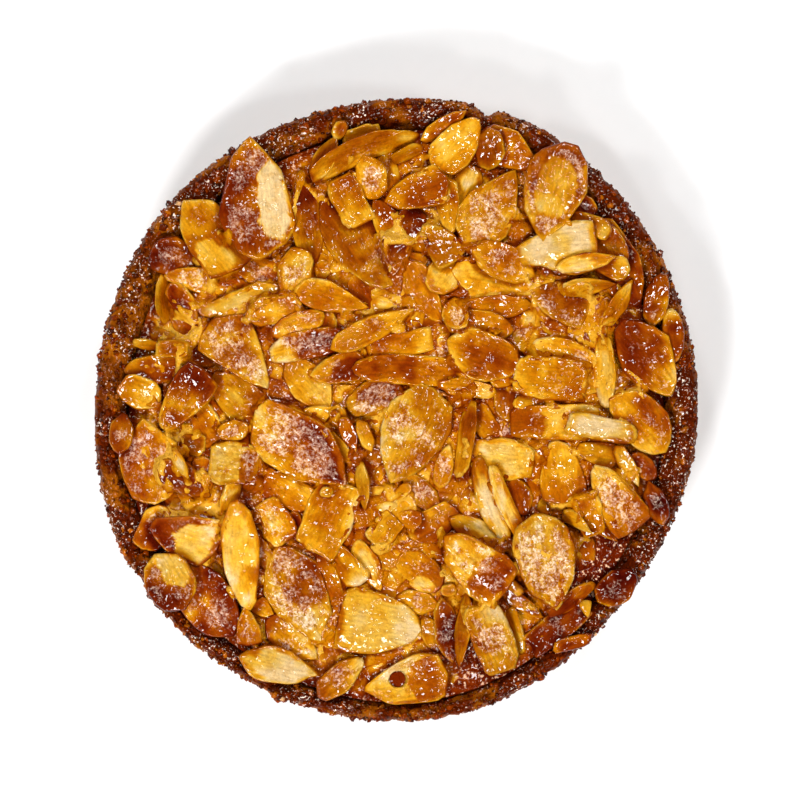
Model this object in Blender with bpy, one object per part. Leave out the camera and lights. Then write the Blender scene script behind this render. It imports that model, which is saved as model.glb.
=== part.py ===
"""An almond tart, 120 mm across its rim: a shortcrust case filled with sliced almonds set in dark caramel.

Metres, +Z up. The case stands on its flat base at z = 0, with its middle at the origin.
+X and +Y are the right and the top of the tart as it is seen from above.
"""

import math

import bmesh
import bpy
import numpy as np

MM = 0.001

# The shortcrust case, which was pressed into a tin with slanting sides.
RIM_RADIUS = 0.0603
RIM_HEIGHT = 0.0212
BAND_WIDTH = 0.0058
OUTER_DRAFT = 0.0060
INNER_DRAFT = 0.0035
FLOOR_THICKNESS = 0.0040
FOOT_ROUNDING = 0.0012
SHOULDER_HEIGHT = 0.0186
# Waves round the rim: how many, their height and the angle that shifts them.
RIM_WAVES = ((2, 0.00117, -141.8), (5, 0.00044, 34.4), (3, 0.00020, -128.0))
BAND_WAVES = ((1, 0.0013, -90.0), (2, 0.0009, 0.0))
# Bites and drips in the rim: the angle, how far the edge moves out, and its reach along the edge.
RIM_MARKS = ((73.0, -0.0017, 0.0016), (248.0, 0.0013, 0.0016), (214.0, -0.0009, 0.0020))
# Across the rim, from its outer edge (0) to the caramel (1): the share, and how far below the crest.
RIM_PROFILE = ((0.00, 0.0022), (0.12, 0.0007), (0.34, 0.0), (0.60, 0.0005), (0.82, 0.0014), (1.00, 0.0029))
CRUST_TURNS = 112
WALL_RINGS = 3
CRUMB_DEPTH = 0.0010
CRUMB_SEED = 4

# The caramel, and the gap that neighbouring solids keep.
CARAMEL_EDGE = 0.0181
CARAMEL_CROWN = 0.0019
GAP = 0.0003
CORE_RINGS = 12
CORE_TURNS = 40
CORE_BELOW_PILE = 0.0006
CORE_SMOOTHING = 0.0022
HOLLOW_REACH = 0.0015

# The almond slices.
SLICE_THICKNESS = 0.0013
SLICE_SINK = 0.0002
SLICE_CORNERS = 10
CHIP_CORNERS = 8
CHIP_LENGTH = 8.0
SLICE_UNDERCUT = 0.9
STEEPEST_LIE = math.tan(math.radians(17.0))
RESTING_SHARE = 0.80
CRUST_CLEARANCE = 0.0004
CELL = 0.0005
GRID_REACH = 0.0640
# The round hole through one slice by the lower rim: that slice's middle, where the hole is along and
# across the slice from there, and its radius.
HOLED_SLICE = (2.2, -53.6)
HOLE_ALONG = -0.0016
HOLE_ACROSS = 0.0010
HOLE_RADIUS = 0.0016
HOLE_CORNERS = 12

# Outlines of a slice: how fast it narrows towards its far end and towards its near end.
LEAF = (0.75, 0.50)
OVAL = (0.50, 0.50)
STUB = (0.15, 0.50)
BLOCK = (0.14, 0.14)
STRIP = (0.30, 0.30)
WEDGE = (0.95, 0.20)

# Each slice in millimetres and degrees: x, y, length, width, the turn of its length from +X, its outline,
# how much it curves along its length, and how far it leans over on its long edge.
LOWER_SLICES = (
    # Upper left, by the rim.
    (-43.5, 29.6, 9.5, 8.0, 10, OVAL, 0, 0),
    (-40.0, 25.3, 10.0, 5.2, -8, STUB, 0, 0),
    (-26.8, 26.6, 10.5, 6.5, -20, STUB, 0, 0),
    (-17.4, 37.5, 19.0, 7.0, 95, LEAF, 8, 20),
    (-13.6, 49.0, 9.5, 5.0, 62, LEAF, 0, -25),
    (-6.6, 53.4, 7.5, 3.4, 16, BLOCK, 0, 15),
    (-10.8, 54.2, 4.2, 3.0, 60, OVAL, 0, 0),
    # Top.
    (-6.6, 33.0, 23.5, 13.0, -58, LEAF, 0, 0),
    (-1.6, 46.0, 9.0, 5.5, 95, OVAL, 0, 0),
    (-1.2, 36.0, 11.5, 6.5, -58, STUB, 0, 0),
    (3.4, 36.2, 8.0, 6.0, -80, OVAL, 0, 0),
    (4.4, 28.8, 4.4, 3.4, -20, OVAL, 0, 0),
    (5.8, 22.8, 14.5, 6.2, -62, LEAF, 8, 0),
    (10.0, 26.4, 9.5, 7.5, 50, OVAL, 0, 0),
    (22.0, 50.4, 13.5, 8.0, -28, LEAF, 0, 0),
    (18.4, 50.5, 8.0, 6.5, 90, OVAL, 0, 0),
    (19.2, 25.4, 16.5, 10.0, -10, OVAL, 0, 0),
    (19.5, 19.8, 13.5, 5.2, 3, OVAL, 12, 0),
    # Upper right.
    (42.8, 28.4, 19.0, 9.5, -63, OVAL, -18, 15),
    (37.2, 39.4, 5.6, 4.2, -50, OVAL, 0, 0),
    (32.4, 21.0, 12.0, 9.5, -15, STUB, 0, 0),
    (43.6, 20.4, 10.5, 4.2, 60, LEAF, 10, 25),
    (54.2, 14.0, 11.0, 4.4, 92, OVAL, 0, 0),
    # Left.
    (-39.6, 14.6, 14.5, 7.5, -55, STUB, 0, 0),
    (-46.0, 7.6, 14.5, 5.6, 2, OVAL, 0, 0),
    (-36.8, -3.2, 8.5, 5.4, -60, BLOCK, 0, 0),
    (-31.2, 2.4, 12.5, 9.0, -42, STUB, 0, 0),
    (-31.6, -4.4, 7.0, 4.4, 10, OVAL, 0, 0),
    (-48.0, -11.0, 16.5, 12.0, -82, OVAL, 0, 0),
    (-53.4, -5.0, 8.0, 5.0, 88, OVAL, 0, 0),
    (-39.6, -7.2, 5.4, 4.2, 0, BLOCK, 0, 0),
    (-37.4, -13.5, 8.0, 5.0, 88, STUB, 0, 0),
    (-32.2, -17.6, 8.0, 3.8, 72, STRIP, 0, 20),
    (-21.2, -16.2, 10.5, 6.4, -25, BLOCK, 0, 0),
    # Middle.
    (-13.4, 16.8, 5.0, 4.4, 80, OVAL, 0, 0),
    (-17.0, 4.8, 13.0, 8.2, -48, OVAL, 0, 0),
    (-14.6, -1.2, 6.0, 5.0, 30, WEDGE, 0, 0),
    (-11.0, -1.6, 4.6, 3.4, -60, STRIP, 0, 0),
    (-9.0, -5.2, 7.5, 3.6, -68, LEAF, 0, 20),
    (-5.8, -5.4, 6.6, 3.2, -68, OVAL, 0, 0),
    (17.3, -2.6, 7.0, 5.0, -60, BLOCK, 0, 0),
    (21.6, 2.6, 11.5, 5.0, -86, OVAL, 0, 0),
    (16.5, 16.0, 14.0, 6.2, -5, OVAL, 0, 0),
    (21.4, 6.8, 7.0, 5.4, 30, OVAL, 0, 0),
    (9.6, -11.4, 9.0, 4.0, 78, LEAF, 0, 0),
    (5.2, -16.6, 9.5, 5.2, -50, OVAL, 0, 0),
    (-3.0, -16.4, 5.4, 3.6, 20, WEDGE, 0, 0),
    (1.6, -16.2, 4.2, 2.8, 40, OVAL, 0, 0),
    (26.4, 1.4, 7.0, 3.6, 10, OVAL, 0, 0),
    (39.6, -8.8, 9.0, 5.4, -15, STUB, 0, 0),
    (24.4, -17.4, 7.6, 5.0, -68, OVAL, 0, 0),
    (51.0, -18.6, 8.5, 4.6, -72, OVAL, 0, 0),
    (48.6, -11.4, 7.0, 4.4, -50, OVAL, 0, 0),
    (31.5, -18.5, 8.0, 5.0, 20, OVAL, 0, 0),
    # Lower right.
    (37.2, -27.4, 7.4, 4.6, -82, OVAL, 0, 0),
    (41.4, -24.2, 6.4, 3.4, -40, WEDGE, 0, 0),
    (24.8, -38.2, 10.5, 3.8, -33, LEAF, 8, 20),
    (43.2, -35.0, 9.5, 6.6, 38, OVAL, 0, 0),
    # Bottom.
    (7.6, -22.6, 11.5, 7.0, 30, OVAL, 0, 0),
    (4.2, -38.0, 8.5, 5.0, -10, OVAL, 0, 0),
    (-1.5, -28.6, 8.5, 6.0, -65, LEAF, 0, 0),
    (2.8, -21.6, 5.4, 4.2, -20, STUB, 0, 0),
    (-12.8, -33.4, 11.0, 3.8, -68, STRIP, 0, 0),
    (7.2, -44.4, 8.0, 4.0, -68, OVAL, 0, 0),
    (10.2, -43.4, 13.0, 5.4, -80, OVAL, 0, 0),
    (-6.4, -21.4, 4.4, 2.8, 30, OVAL, 0, 0),
    (-2.0, -19.4, 5.4, 2.6, 12, OVAL, 0, 0),
    (-19.4, -23.2, 6.6, 3.4, -80, OVAL, 0, 0),
    (-25.4, -39.6, 5.0, 4.2, -40, WEDGE, 0, 0),
    (-34.9, -32.6, 5.0, 3.0, -70, OVAL, 0, 0),
)
MIDDLE_SLICES = (
    # Upper left.
    (-35.4, 34.0, 18.5, 12.5, -48, STUB, 0, 0),
    (-45.2, 21.4, 9.0, 4.5, 92, STRIP, -12, 45),
    (-41.4, 20.8, 9.5, 4.6, -52, LEAF, 0, 0),
    (-31.0, 20.9, 18.0, 6.0, 15, STUB, 38, 10),
    (-19.5, 26.6, 9.8, 7.4, 72, OVAL, 0, 0),
    # Top.
    (-6.2, 49.6, 22.5, 6.5, 21, STRIP, -38, 40),
    (-4.7, 45.0, 9.2, 6.8, 108, OVAL, 0, 0),
    (2.4, 49.8, 7.0, 3.2, 24, STRIP, 0, 35),
    (9.6, 55.2, 10.5, 4.0, 32, LEAF, 8, 25),
    (-8.8, 40.4, 10.0, 6.8, -62, BLOCK, 0, 0),
    (13.6, 42.0, 12.5, 6.6, 72, OVAL, 0, 0),
    (10.2, 39.6, 11.5, 5.4, 98, STUB, 0, 0),
    (8.7, 32.2, 10.0, 6.8, -48, STUB, 0, 0),
    (18.6, 38.6, 18.0, 10.8, 58, LEAF, 0, 0),
    (21.2, 28.6, 13.5, 7.2, -24, OVAL, 0, 0),
    # Upper right.
    (41.0, 31.6, 12.0, 7.6, -48, OVAL, 0, 0),
    (41.8, 27.6, 7.6, 4.8, -12, STUB, 0, 0),
    (37.4, 36.2, 9.5, 4.2, -24, STUB, 0, 0),
    (38.0, 23.8, 10.5, 4.4, 4, LEAF, 0, 40),
    (51.0, 21.0, 11.0, 4.8, 82, OVAL, 0, 0),
    # Left.
    (-30.2, 10.6, 18.5, 12.0, -52, WEDGE, 0, 0),
    (-49.8, 3.0, 9.0, 6.8, -20, OVAL, 0, 0),
    (-41.2, 1.6, 14.5, 8.4, 54, STUB, 0, 0),
    (-31.2, -10.8, 10.8, 8.4, -6, BLOCK, 0, 0),
    (-41.0, -14.0, 12.0, 6.2, -34, LEAF, 0, 0),
    (-48.6, 12.4, 5.5, 2.8, -8, STRIP, 0, 40),
    # Middle.
    (-12.8, 21.6, 14.5, 6.4, -14, LEAF, 0, 0),
    (-23.8, 19.0, 11.5, 6.0, 14, OVAL, 0, 0),
    (-19.0, 16.2, 11.5, 4.8, 20, OVAL, -20, 0),
    (-17.0, 12.4, 15.0, 6.0, 13, STRIP, 0, 0),
    (-11.2, 7.6, 11.0, 6.6, 12, STUB, 0, 0),
    (1.2, 12.4, 13.5, 5.0, 12, BLOCK, 0, 0),
    (-4.2, 2.0, 12.0, 8.4, 25, STUB, 0, 0),
    (3.0, 7.2, 23.0, 6.6, -4, OVAL, -14, 0),
    (14.2, 3.8, 11.5, 3.8, -8, STRIP, 0, 20),
    (-10.6, -8.8, 9.5, 5.0, -38, WEDGE, 0, 0),
    (-6.3, -15.4, 10.0, 3.8, -84, LEAF, 0, 40),
    (13.8, -6.2, 15.5, 4.4, -100, STRIP, 0, 40),
    (17.2, 10.4, 15.5, 10.0, -22, OVAL, 0, 0),
    (20.8, -10.0, 11.8, 8.0, -8, BLOCK, 0, 0),
    (30.4, 5.8, 14.5, 8.4, -8, BLOCK, 0, 0),
    (48.2, -2.6, 15.0, 9.6, -52, OVAL, 0, 0),
    (32.6, -12.6, 13.5, 9.0, -82, STUB, 0, 0),
    (45.4, -11.4, 9.5, 4.0, -60, LEAF, 0, 25),
    (43.0, -17.6, 15.0, 8.8, -58, STUB, 0, 0),
    (37.8, -20.6, 8.5, 5.6, -72, BLOCK, 0, 0),
    # Lower right.
    (31.8, -42.6, 15.0, 6.0, 38, STRIP, 0, 0),
    (34.4, -37.4, 10.5, 3.6, 34, STRIP, 0, 20),
    (34.6, -45.8, 8.0, 2.8, 16, STRIP, 0, 0),
    (23.6, -43.6, 9.5, 3.2, -76, STRIP, 0, 20),
    (13.2, -43.6, 15.5, 4.6, -96, LEAF, 0, 40),
    (23.2, -34.8, 5.0, 2.4, -42, STRIP, 0, 0),
    # Bottom.
    (16.6, -25.2, 14.0, 6.0, -34, OVAL, -12, 0),
    (5.0, -32.0, 11.0, 7.2, -38, OVAL, 0, 0),
    (-2.0, -23.8, 7.2, 5.6, 50, BLOCK, 0, 0),
    (-5.4, -31.0, 11.0, 5.2, -60, LEAF, -14, 0),
    (-9.4, -30.6, 9.4, 5.2, -58, STUB, 0, 0),
    (-13.0, -21.4, 15.5, 9.6, 68, BLOCK, 0, 0),
    (2.2, -53.6, 15.6, 9.8, 12, STUB, 0, 0),
    (10.6, -35.6, 3.4, 2.8, 0, OVAL, 0, 0),
    # Lower left.
    (-47.0, -23.6, 9.5, 7.5, 60, OVAL, 0, 0),
    (-37.0, -37.4, 18.0, 11.0, -52, OVAL, 0, 0),
    (-26.4, -28.0, 9.5, 4.2, -56, OVAL, 0, 0),
    (-23.6, -22.2, 9.5, 6.8, -55, BLOCK, 0, 0),
    (-28.8, -42.4, 8.4, 5.4, 98, WEDGE, 0, 0),
    (-20.2, -45.2, 13.0, 7.4, -38, LEAF, 0, 0),
)
UPPER_SLICES = (
    # Top and upper right.
    (-27.2, 40.8, 24.0, 14.6, 95, LEAF, 0, 0),
    (12.0, 51.2, 13.5, 8.6, 48, LEAF, 0, 0),
    (4.2, 42.4, 13.5, 8.0, 18, STUB, 0, 0),
    (0.0, 29.4, 7.8, 6.4, -100, WEDGE, 0, 0),
    (31.8, 31.0, 16.5, 10.2, 6, STUB, 0, 0),
    (37.2, 28.4, 11.5, 3.8, 10, LEAF, 0, 0),
    (30.9, 42.2, 19.6, 12.6, -102, LEAF, 0, 0),
    # Left and middle.
    (-43.5, 11.6, 6.5, 3.6, 0, BLOCK, 0, 0),
    (-41.8, -10.8, 7.2, 3.0, -60, LEAF, 0, 35),
    (-4.4, 15.4, 18.0, 5.6, 26, LEAF, 0, 15),
    (11.9, 18.4, 6.8, 5.6, 95, OVAL, 0, 0),
    (33.0, 10.6, 15.0, 5.0, -12, OVAL, -42, 10),
    (41.0, 7.2, 14.5, 4.6, -88, STRIP, 0, 30),
    (49.4, 9.6, 17.0, 11.0, -58, LEAF, 0, 0),
    (-18.6, -7.6, 23.5, 12.8, -40, LEAF, 0, 0),
    (3.4, -5.2, 20.6, 13.4, -114, LEAF, 0, 0),
    (31.4, -2.7, 17.0, 7.2, 3, BLOCK, 0, 0),
    (40.2, -4.0, 14.5, 5.0, -12, STRIP, 0, 0),
    (18.6, -17.8, 17.5, 4.4, -72, STRIP, 22, 0),
    (22.0, -18.8, 16.0, 3.4, -66, STRIP, 18, 0),
    (35.8, -22.4, 7.4, 3.4, -38, WEDGE, 0, 25),
    # Bottom and lower left.
    (29.4, -29.8, 18.8, 12.6, -78, LEAF, 0, 0),
    (37.3, -39.2, 3.4, 2.6, -80, WEDGE, 0, 0),
    (18.9, -44.8, 14.0, 8.2, -72, BLOCK, 0, 0),
    (15.6, -30.4, 16.5, 10.6, -42, STUB, 0, 0),
    (-3.0, -42.2, 16.6, 13.2, 170, STUB, 0, 0),
    (-18.8, -36.6, 20.0, 12.2, -64, LEAF, 0, 0),
    (-10.6, -52.6, 12.0, 5.8, 40, LEAF, 0, 0),
    (-41.0, -25.2, 14.5, 10.0, -14, STUB, 0, 0),
    (-43.8, -33.8, 12.0, 10.4, -60, OVAL, 0, 0),
    (-29.8, -28.2, 21.5, 7.6, -84, OVAL, 16, 0),
    (-22.6, -50.4, 15.0, 7.4, -14, LEAF, 0, 0),
    (-13.4, -16.4, 2.8, 2.2, 0, OVAL, 0, 0),
)


def around(waves, turn):
    """The sum of cosines round the tart, one for each (count, height, shift)."""
    return sum(height * np.cos(count * turn + math.radians(shift)) for count, height, shift in waves)


def rim_radius(turn):
    """The rim's outer edge: a nearly round curve with its bites and drips as bell-shaped dips and bumps."""
    radius = RIM_RADIUS + around(RIM_WAVES, turn)
    for angle, out, reach in RIM_MARKS:
        away = np.angle(np.exp(1j * (turn - math.radians(angle)))) * RIM_RADIUS
        radius = radius + out * np.exp(-((away / reach) ** 2))
    return radius


def band_width(turn):
    """How wide the bare rim is, from its outer edge to the caramel."""
    return BAND_WIDTH + around(BAND_WAVES, turn)


def rim_height(share):
    """Height of the rim's top at a share of the way from its outer edge to the caramel."""
    shares, below = np.array(RIM_PROFILE).T
    return RIM_HEIGHT - np.interp(share, shares, below)


def crust_top(x, y):
    """Height of the rim's top under a point, and -1 where there is no rim."""
    turn = np.arctan2(y, x)
    share = (rim_radius(turn) - np.hypot(x, y)) / band_width(turn)
    return np.where((share >= 0) & (share <= 1), rim_height(share), -1.0)


def caramel_top(x, y):
    """Height of the caramel: a low crown that falls with the square of the distance from the middle."""
    return CARAMEL_EDGE + CARAMEL_CROWN * (1 - (x * x + y * y) / RIM_RADIUS**2)


def half_width(outline, along):
    """Half the width of a slice of width 1, at -1 to 1 along its length: a product of two powers."""
    far, near = outline
    widest = (near - far) / (far + near)
    full = (1 - widest) ** far * (1 + widest) ** near
    inside = np.clip(along, -1, 1)
    return 0.5 * (1 - inside) ** far * (1 + inside) ** near / full


def curved(along, across, length, bend):
    """Carries a point of a straight slice onto an arc that turns by the bend over its length."""
    if not bend:
        return along, across
    radius = length / math.radians(bend)
    sag = radius * (1 - math.cos(math.radians(bend) / 2))
    angle = along / radius
    return (radius - across) * np.sin(angle), radius - (radius - across) * np.cos(angle) - sag / 2


def straightened(along, across, length, bend):
    """The inverse of curved()."""
    if not bend:
        return along, across
    radius = length / math.radians(bend)
    sag = radius * (1 - math.cos(math.radians(bend) / 2))
    to_middle = radius - (across + sag / 2)
    angle = np.arctan2(along * np.sign(radius), to_middle * np.sign(radius))
    return angle * radius, radius - np.sign(radius) * np.hypot(along, to_middle)


def spread(grid, reach, pick):
    """The lowest (np.minimum) or highest (np.maximum) value within reach cells along X and Y."""
    for axis in (0, 1):
        grid = pick.reduce([np.roll(grid, shift, axis) for shift in range(-reach, reach + 1)])
    return grid


def smoothed(grid, distance):
    """The grid blurred by a bell curve of this standard distance."""
    reach = int(3 * distance / CELL)
    steps = np.arange(-reach, reach + 1)
    bell = np.exp(-0.5 * (steps * CELL / distance) ** 2)
    bell /= bell.sum()
    for axis in (0, 1):
        grid = sum(share * np.roll(grid, step, axis) for share, step in zip(bell, steps))
    return grid


def settled(slices):
    """Lays the slices down one by one, each on the plane that fits the pile under it best.

    Returns the height of the finished pile on the grid, and for each slice its plane: height in the
    middle, and rise along and across its length.
    """
    axis = np.arange(-GRID_REACH, GRID_REACH + CELL / 2, CELL)
    x, y = np.meshgrid(axis, axis)
    crust = spread(crust_top(x, y), 1, np.maximum)
    pile = np.maximum(caramel_top(x, y), crust)
    planes = []
    for centre_x, centre_y, length, width, turn, outline, bend, lean in slices:
        cosine, sine = math.cos(math.radians(turn)), math.sin(math.radians(turn))
        off_x, off_y = x - centre_x * MM, y - centre_y * MM
        near = (abs(off_x) < length * MM) & (abs(off_y) < length * MM)
        plan_along = off_x[near] * cosine + off_y[near] * sine
        plan_across = off_y[near] * cosine - off_x[near] * sine
        along, across = straightened(plan_along, plan_across, length * MM, bend)
        across = across / math.cos(math.radians(lean))
        under = abs(across) <= width * MM * half_width(outline, 2 * along / (length * MM))
        under &= abs(along) <= length * MM / 2
        rows, columns = (index[under] for index in np.nonzero(near))
        along, across = plan_along[under], plan_across[under]
        below = pile[rows, columns]
        fit = np.linalg.lstsq(np.stack([along, across, np.ones(len(along))], 1), below, rcond=None)[0]
        rise_along, rise_across = np.clip(fit[:2], -STEEPEST_LIE, STEEPEST_LIE)
        if lean:
            rise_across = math.tan(math.radians(lean))
        lift = rise_along * along + rise_across * across
        thickness = SLICE_THICKNESS / math.cos(math.radians(lean))
        height = np.quantile(below - lift, RESTING_SHARE) - SLICE_SINK
        if not lean:
            height = max(height, (below - lift).max() - 0.75 * thickness)
        height = max(height, (crust[rows, columns] - lift).max() + CRUST_CLEARANCE)
        pile[rows, columns] = np.maximum(below, height + lift + thickness)
        planes.append((height, rise_along, rise_across))
    return axis, pile, planes


def slice_points(piece, plane, outline_points):
    """Places points (along, across, up) of a flat slice in the tart, on the plane it lies on."""
    centre_x, centre_y, length, _, turn, _, bend, lean = piece
    height, rise_along, rise_across = plane
    cosine, sine = math.cos(math.radians(turn)), math.sin(math.radians(turn))
    along, across, up = outline_points
    along, across = curved(along, across * math.cos(math.radians(lean)), length * MM, bend)
    up = height + rise_along * along + rise_across * across + up / math.cos(math.radians(lean))
    return np.stack([centre_x * MM + along * cosine - across * sine,
                     centre_y * MM + along * sine + across * cosine, up], 1)


def new_object(name, points, faces):
    """An object in the scene with this mesh, and its faces turned outwards."""
    mesh = bpy.data.meshes.new(name)
    mesh.from_pydata([tuple(point) for point in points], [], faces)
    work = bmesh.new()
    work.from_mesh(mesh)
    bmesh.ops.recalc_face_normals(work, faces=work.faces)
    work.to_mesh(mesh)
    work.free()
    made = bpy.data.objects.new(name, mesh)
    bpy.context.scene.collection.objects.link(made)
    return made


def lathe_faces(rings, turns):
    """Quads between neighbouring rings of points, and a fan at the first and the last point."""
    faces = []
    for ring in range(rings - 1):
        for turn in range(turns):
            after = (turn + 1) % turns
            faces.append((ring * turns + turn, ring * turns + after,
                          (ring + 1) * turns + after, (ring + 1) * turns + turn))
    first, last = rings * turns, rings * turns + 1
    for turn in range(turns):
        after = (turn + 1) % turns
        faces.append((first, after, turn))
        faces.append((last, (rings - 1) * turns + turn, (rings - 1) * turns + after))
    return faces


def finish_with(made, name, colour, roughness):
    """Gives the object a plain material and smooth shading with sharp edges kept."""
    material = bpy.data.materials.new(name)
    material.use_nodes = True
    shader = material.node_tree.nodes["Principled BSDF"]
    shader.inputs["Base Color"].default_value = (*colour, 1.0)
    shader.inputs["Roughness"].default_value = roughness
    made.data.materials.append(material)
    made.data.shade_smooth()
    made.data.set_sharp_from_angle(angle=math.radians(40))


def build_crust():
    """The case: its profile is carried round the rim's outline, with crumbs pressed in or broken off."""
    draw = np.random.default_rng(CRUMB_SEED)
    turn = np.arange(CRUST_TURNS) * 2 * math.pi / CRUST_TURNS
    outside, band = rim_radius(turn), band_width(turn)
    inside = outside - band
    rings = [(outside - OUTER_DRAFT - FOOT_ROUNDING, np.zeros(CRUST_TURNS), 0.0)]
    for share in np.linspace(0, 1, WALL_RINGS, endpoint=False):
        height = FOOT_ROUNDING + (SHOULDER_HEIGHT - FOOT_ROUNDING) * share
        rings.append((outside - OUTER_DRAFT * (1 - share), np.full(CRUST_TURNS, height), 1.0))
    for share, _ in RIM_PROFILE:
        rings.append((outside - share * band, np.full(CRUST_TURNS, rim_height(share)), 1.0 - share))
    rings.append((inside - INNER_DRAFT, np.full(CRUST_TURNS, FLOOR_THICKNESS + FOOT_ROUNDING), 0.0))
    rings.append((inside - INNER_DRAFT - FOOT_ROUNDING, np.full(CRUST_TURNS, FLOOR_THICKNESS), 0.0))
    points = []
    for radius, height, crumbly in rings:
        radius = radius - crumbly * CRUMB_DEPTH * draw.uniform(0, 1, CRUST_TURNS)
        height = height - crumbly * CRUMB_DEPTH * draw.uniform(0, 1, CRUST_TURNS)
        points += list(zip(radius * np.cos(turn), radius * np.sin(turn), height))
    points += [(0, 0, 0), (0, 0, FLOOR_THICKNESS)]
    crust = new_object("crust", points, lathe_faces(len(rings), CRUST_TURNS))
    finish_with(crust, "baked_shortcrust", (0.165, 0.045, 0.008), 0.62)


def build_core(axis, pile):
    """The caramel that fills the case and binds the pile: a turned plug whose top follows the pile."""
    turn = np.arange(CORE_TURNS) * 2 * math.pi / CORE_TURNS
    wall = rim_radius(turn) - band_width(turn) - GAP - CRUST_CLEARANCE
    surface = smoothed(spread(pile, int(HOLLOW_REACH / CELL), np.minimum), CORE_SMOOTHING) - CORE_BELOW_PILE
    points = []
    foot = wall - INNER_DRAFT - FOOT_ROUNDING
    points += list(zip(foot * np.cos(turn), foot * np.sin(turn), np.full(CORE_TURNS, FLOOR_THICKNESS + GAP)))
    points += list(zip(wall * np.cos(turn), wall * np.sin(turn), np.full(CORE_TURNS, CARAMEL_EDGE - GAP)))
    for share in np.arange(CORE_RINGS - 1, 0, -1) / CORE_RINGS:
        x, y = share * wall * np.cos(turn), share * wall * np.sin(turn)
        rows, columns = (np.rint((value - axis[0]) / CELL).astype(int) for value in (y, x))
        points += list(zip(x, y, np.maximum(surface[rows, columns], caramel_top(x, y))))
    middle = len(axis) // 2
    points += [(0, 0, FLOOR_THICKNESS + GAP), (0, 0, surface[middle, middle])]
    return new_object("almond_filling", points, lathe_faces(CORE_RINGS + 1, CORE_TURNS))


def prism_faces(count):
    """Faces of a prism whose lower corners come first: both ends, then the sides."""
    faces = [list(range(count))[::-1], list(range(count, 2 * count))]
    for corner in range(count):
        after = (corner + 1) % count
        faces.append((corner, after, after + count, corner + count))
    return faces


def build_slice(number, piece, plane):
    """One slice as a thin slab with few corners, a little smaller below than above."""
    _, _, length, width, _, outline, _, _ = piece
    count = CHIP_CORNERS if length < CHIP_LENGTH else SLICE_CORNERS
    start = 0.0 if outline[0] >= 0.5 else 0.5
    angle = (np.arange(count) + start) * 2 * math.pi / count
    along = np.cos(angle)
    across = np.sign(np.sin(angle).round(6)) * half_width(outline, along)
    points = []
    for scale, up in ((SLICE_UNDERCUT, 0.0), (1.0, SLICE_THICKNESS)):
        flat = (along * scale * length * MM / 2, across * scale * width * MM, np.full(count, up))
        points += list(slice_points(piece, plane, flat))
    return new_object(f"slice_{number}", points, prism_faces(count))


def build_hole_cutter(piece, plane):
    """A round cutter through the slice with the hole, from just under it to well above it."""
    turn = np.arange(HOLE_CORNERS) * 2 * math.pi / HOLE_CORNERS
    along = HOLE_ALONG + HOLE_RADIUS * np.cos(turn)
    across = HOLE_ACROSS + HOLE_RADIUS * np.sin(turn)
    points = []
    for up in (-GAP, 4 * SLICE_THICKNESS):
        points += list(slice_points(piece, plane, (along, across, np.full(HOLE_CORNERS, up))))
    cutter = new_object("hole_cutter", points, prism_faces(HOLE_CORNERS))
    cutter.hide_render = True
    cutter.display_type = "WIRE"
    return cutter


def keep_outer_shell(made):
    """Fills the hollows that joining has sealed and drops scraps: only the largest shell stays."""
    work = bmesh.new()
    work.from_mesh(made.data)
    bmesh.ops.triangulate(work, faces=work.faces)
    shells, seen = [], set()
    for start in work.faces:
        if start in seen:
            continue
        shell, waiting = set(), [start]
        while waiting:
            face = waiting.pop()
            if face not in shell:
                shell.add(face)
                clean = [edge for edge in face.edges if len(edge.link_faces) == 2]
                waiting += [other for edge in clean for other in edge.link_faces]
        seen |= shell
        shells.append(shell)
    shells.sort(key=len)
    for shell in shells[:-1]:
        bmesh.ops.delete(work, geom=list(shell), context="FACES")
    work.to_mesh(made.data)
    work.free()


def build_filling():
    """The caramel with every slice fused on, by one union over a collection of the slices, and the
    hole cut through one of them."""
    slices = LOWER_SLICES + MIDDLE_SLICES + UPPER_SLICES
    axis, pile, planes = settled(slices)
    filling = build_core(axis, pile)
    loose = bpy.data.collections.new("slices")
    bpy.context.scene.collection.children.link(loose)
    for number, (piece, plane) in enumerate(zip(slices, planes)):
        made = build_slice(number, piece, plane)
        if piece[:2] == HOLED_SLICE:
            cutter = build_hole_cutter(piece, plane)
        bpy.context.scene.collection.objects.unlink(made)
        loose.objects.link(made)
    join = filling.modifiers.new("join_slices", "BOOLEAN")
    join.operation = "UNION"
    join.operand_type = "COLLECTION"
    join.collection = loose
    join.solver = "MANIFOLD"
    bpy.context.view_layer.objects.active = filling
    bpy.ops.object.modifier_apply(modifier=join.name)
    for made in list(loose.objects):
        bpy.data.objects.remove(made, do_unlink=True)
    bpy.data.collections.remove(loose)
    cut = filling.modifiers.new("cut_hole", "BOOLEAN")
    cut.operation = "DIFFERENCE"
    cut.object = cutter
    cut.solver = "MANIFOLD"
    bpy.ops.object.modifier_apply(modifier=cut.name)
    bpy.data.objects.remove(cutter, do_unlink=True)
    keep_outer_shell(filling)
    finish_with(filling, "almonds_in_caramel", (0.46, 0.20, 0.03), 0.30)


for leftover in list(bpy.data.objects):
    bpy.data.objects.remove(leftover, do_unlink=True)
build_crust()
build_filling()
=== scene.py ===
import math

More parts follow.
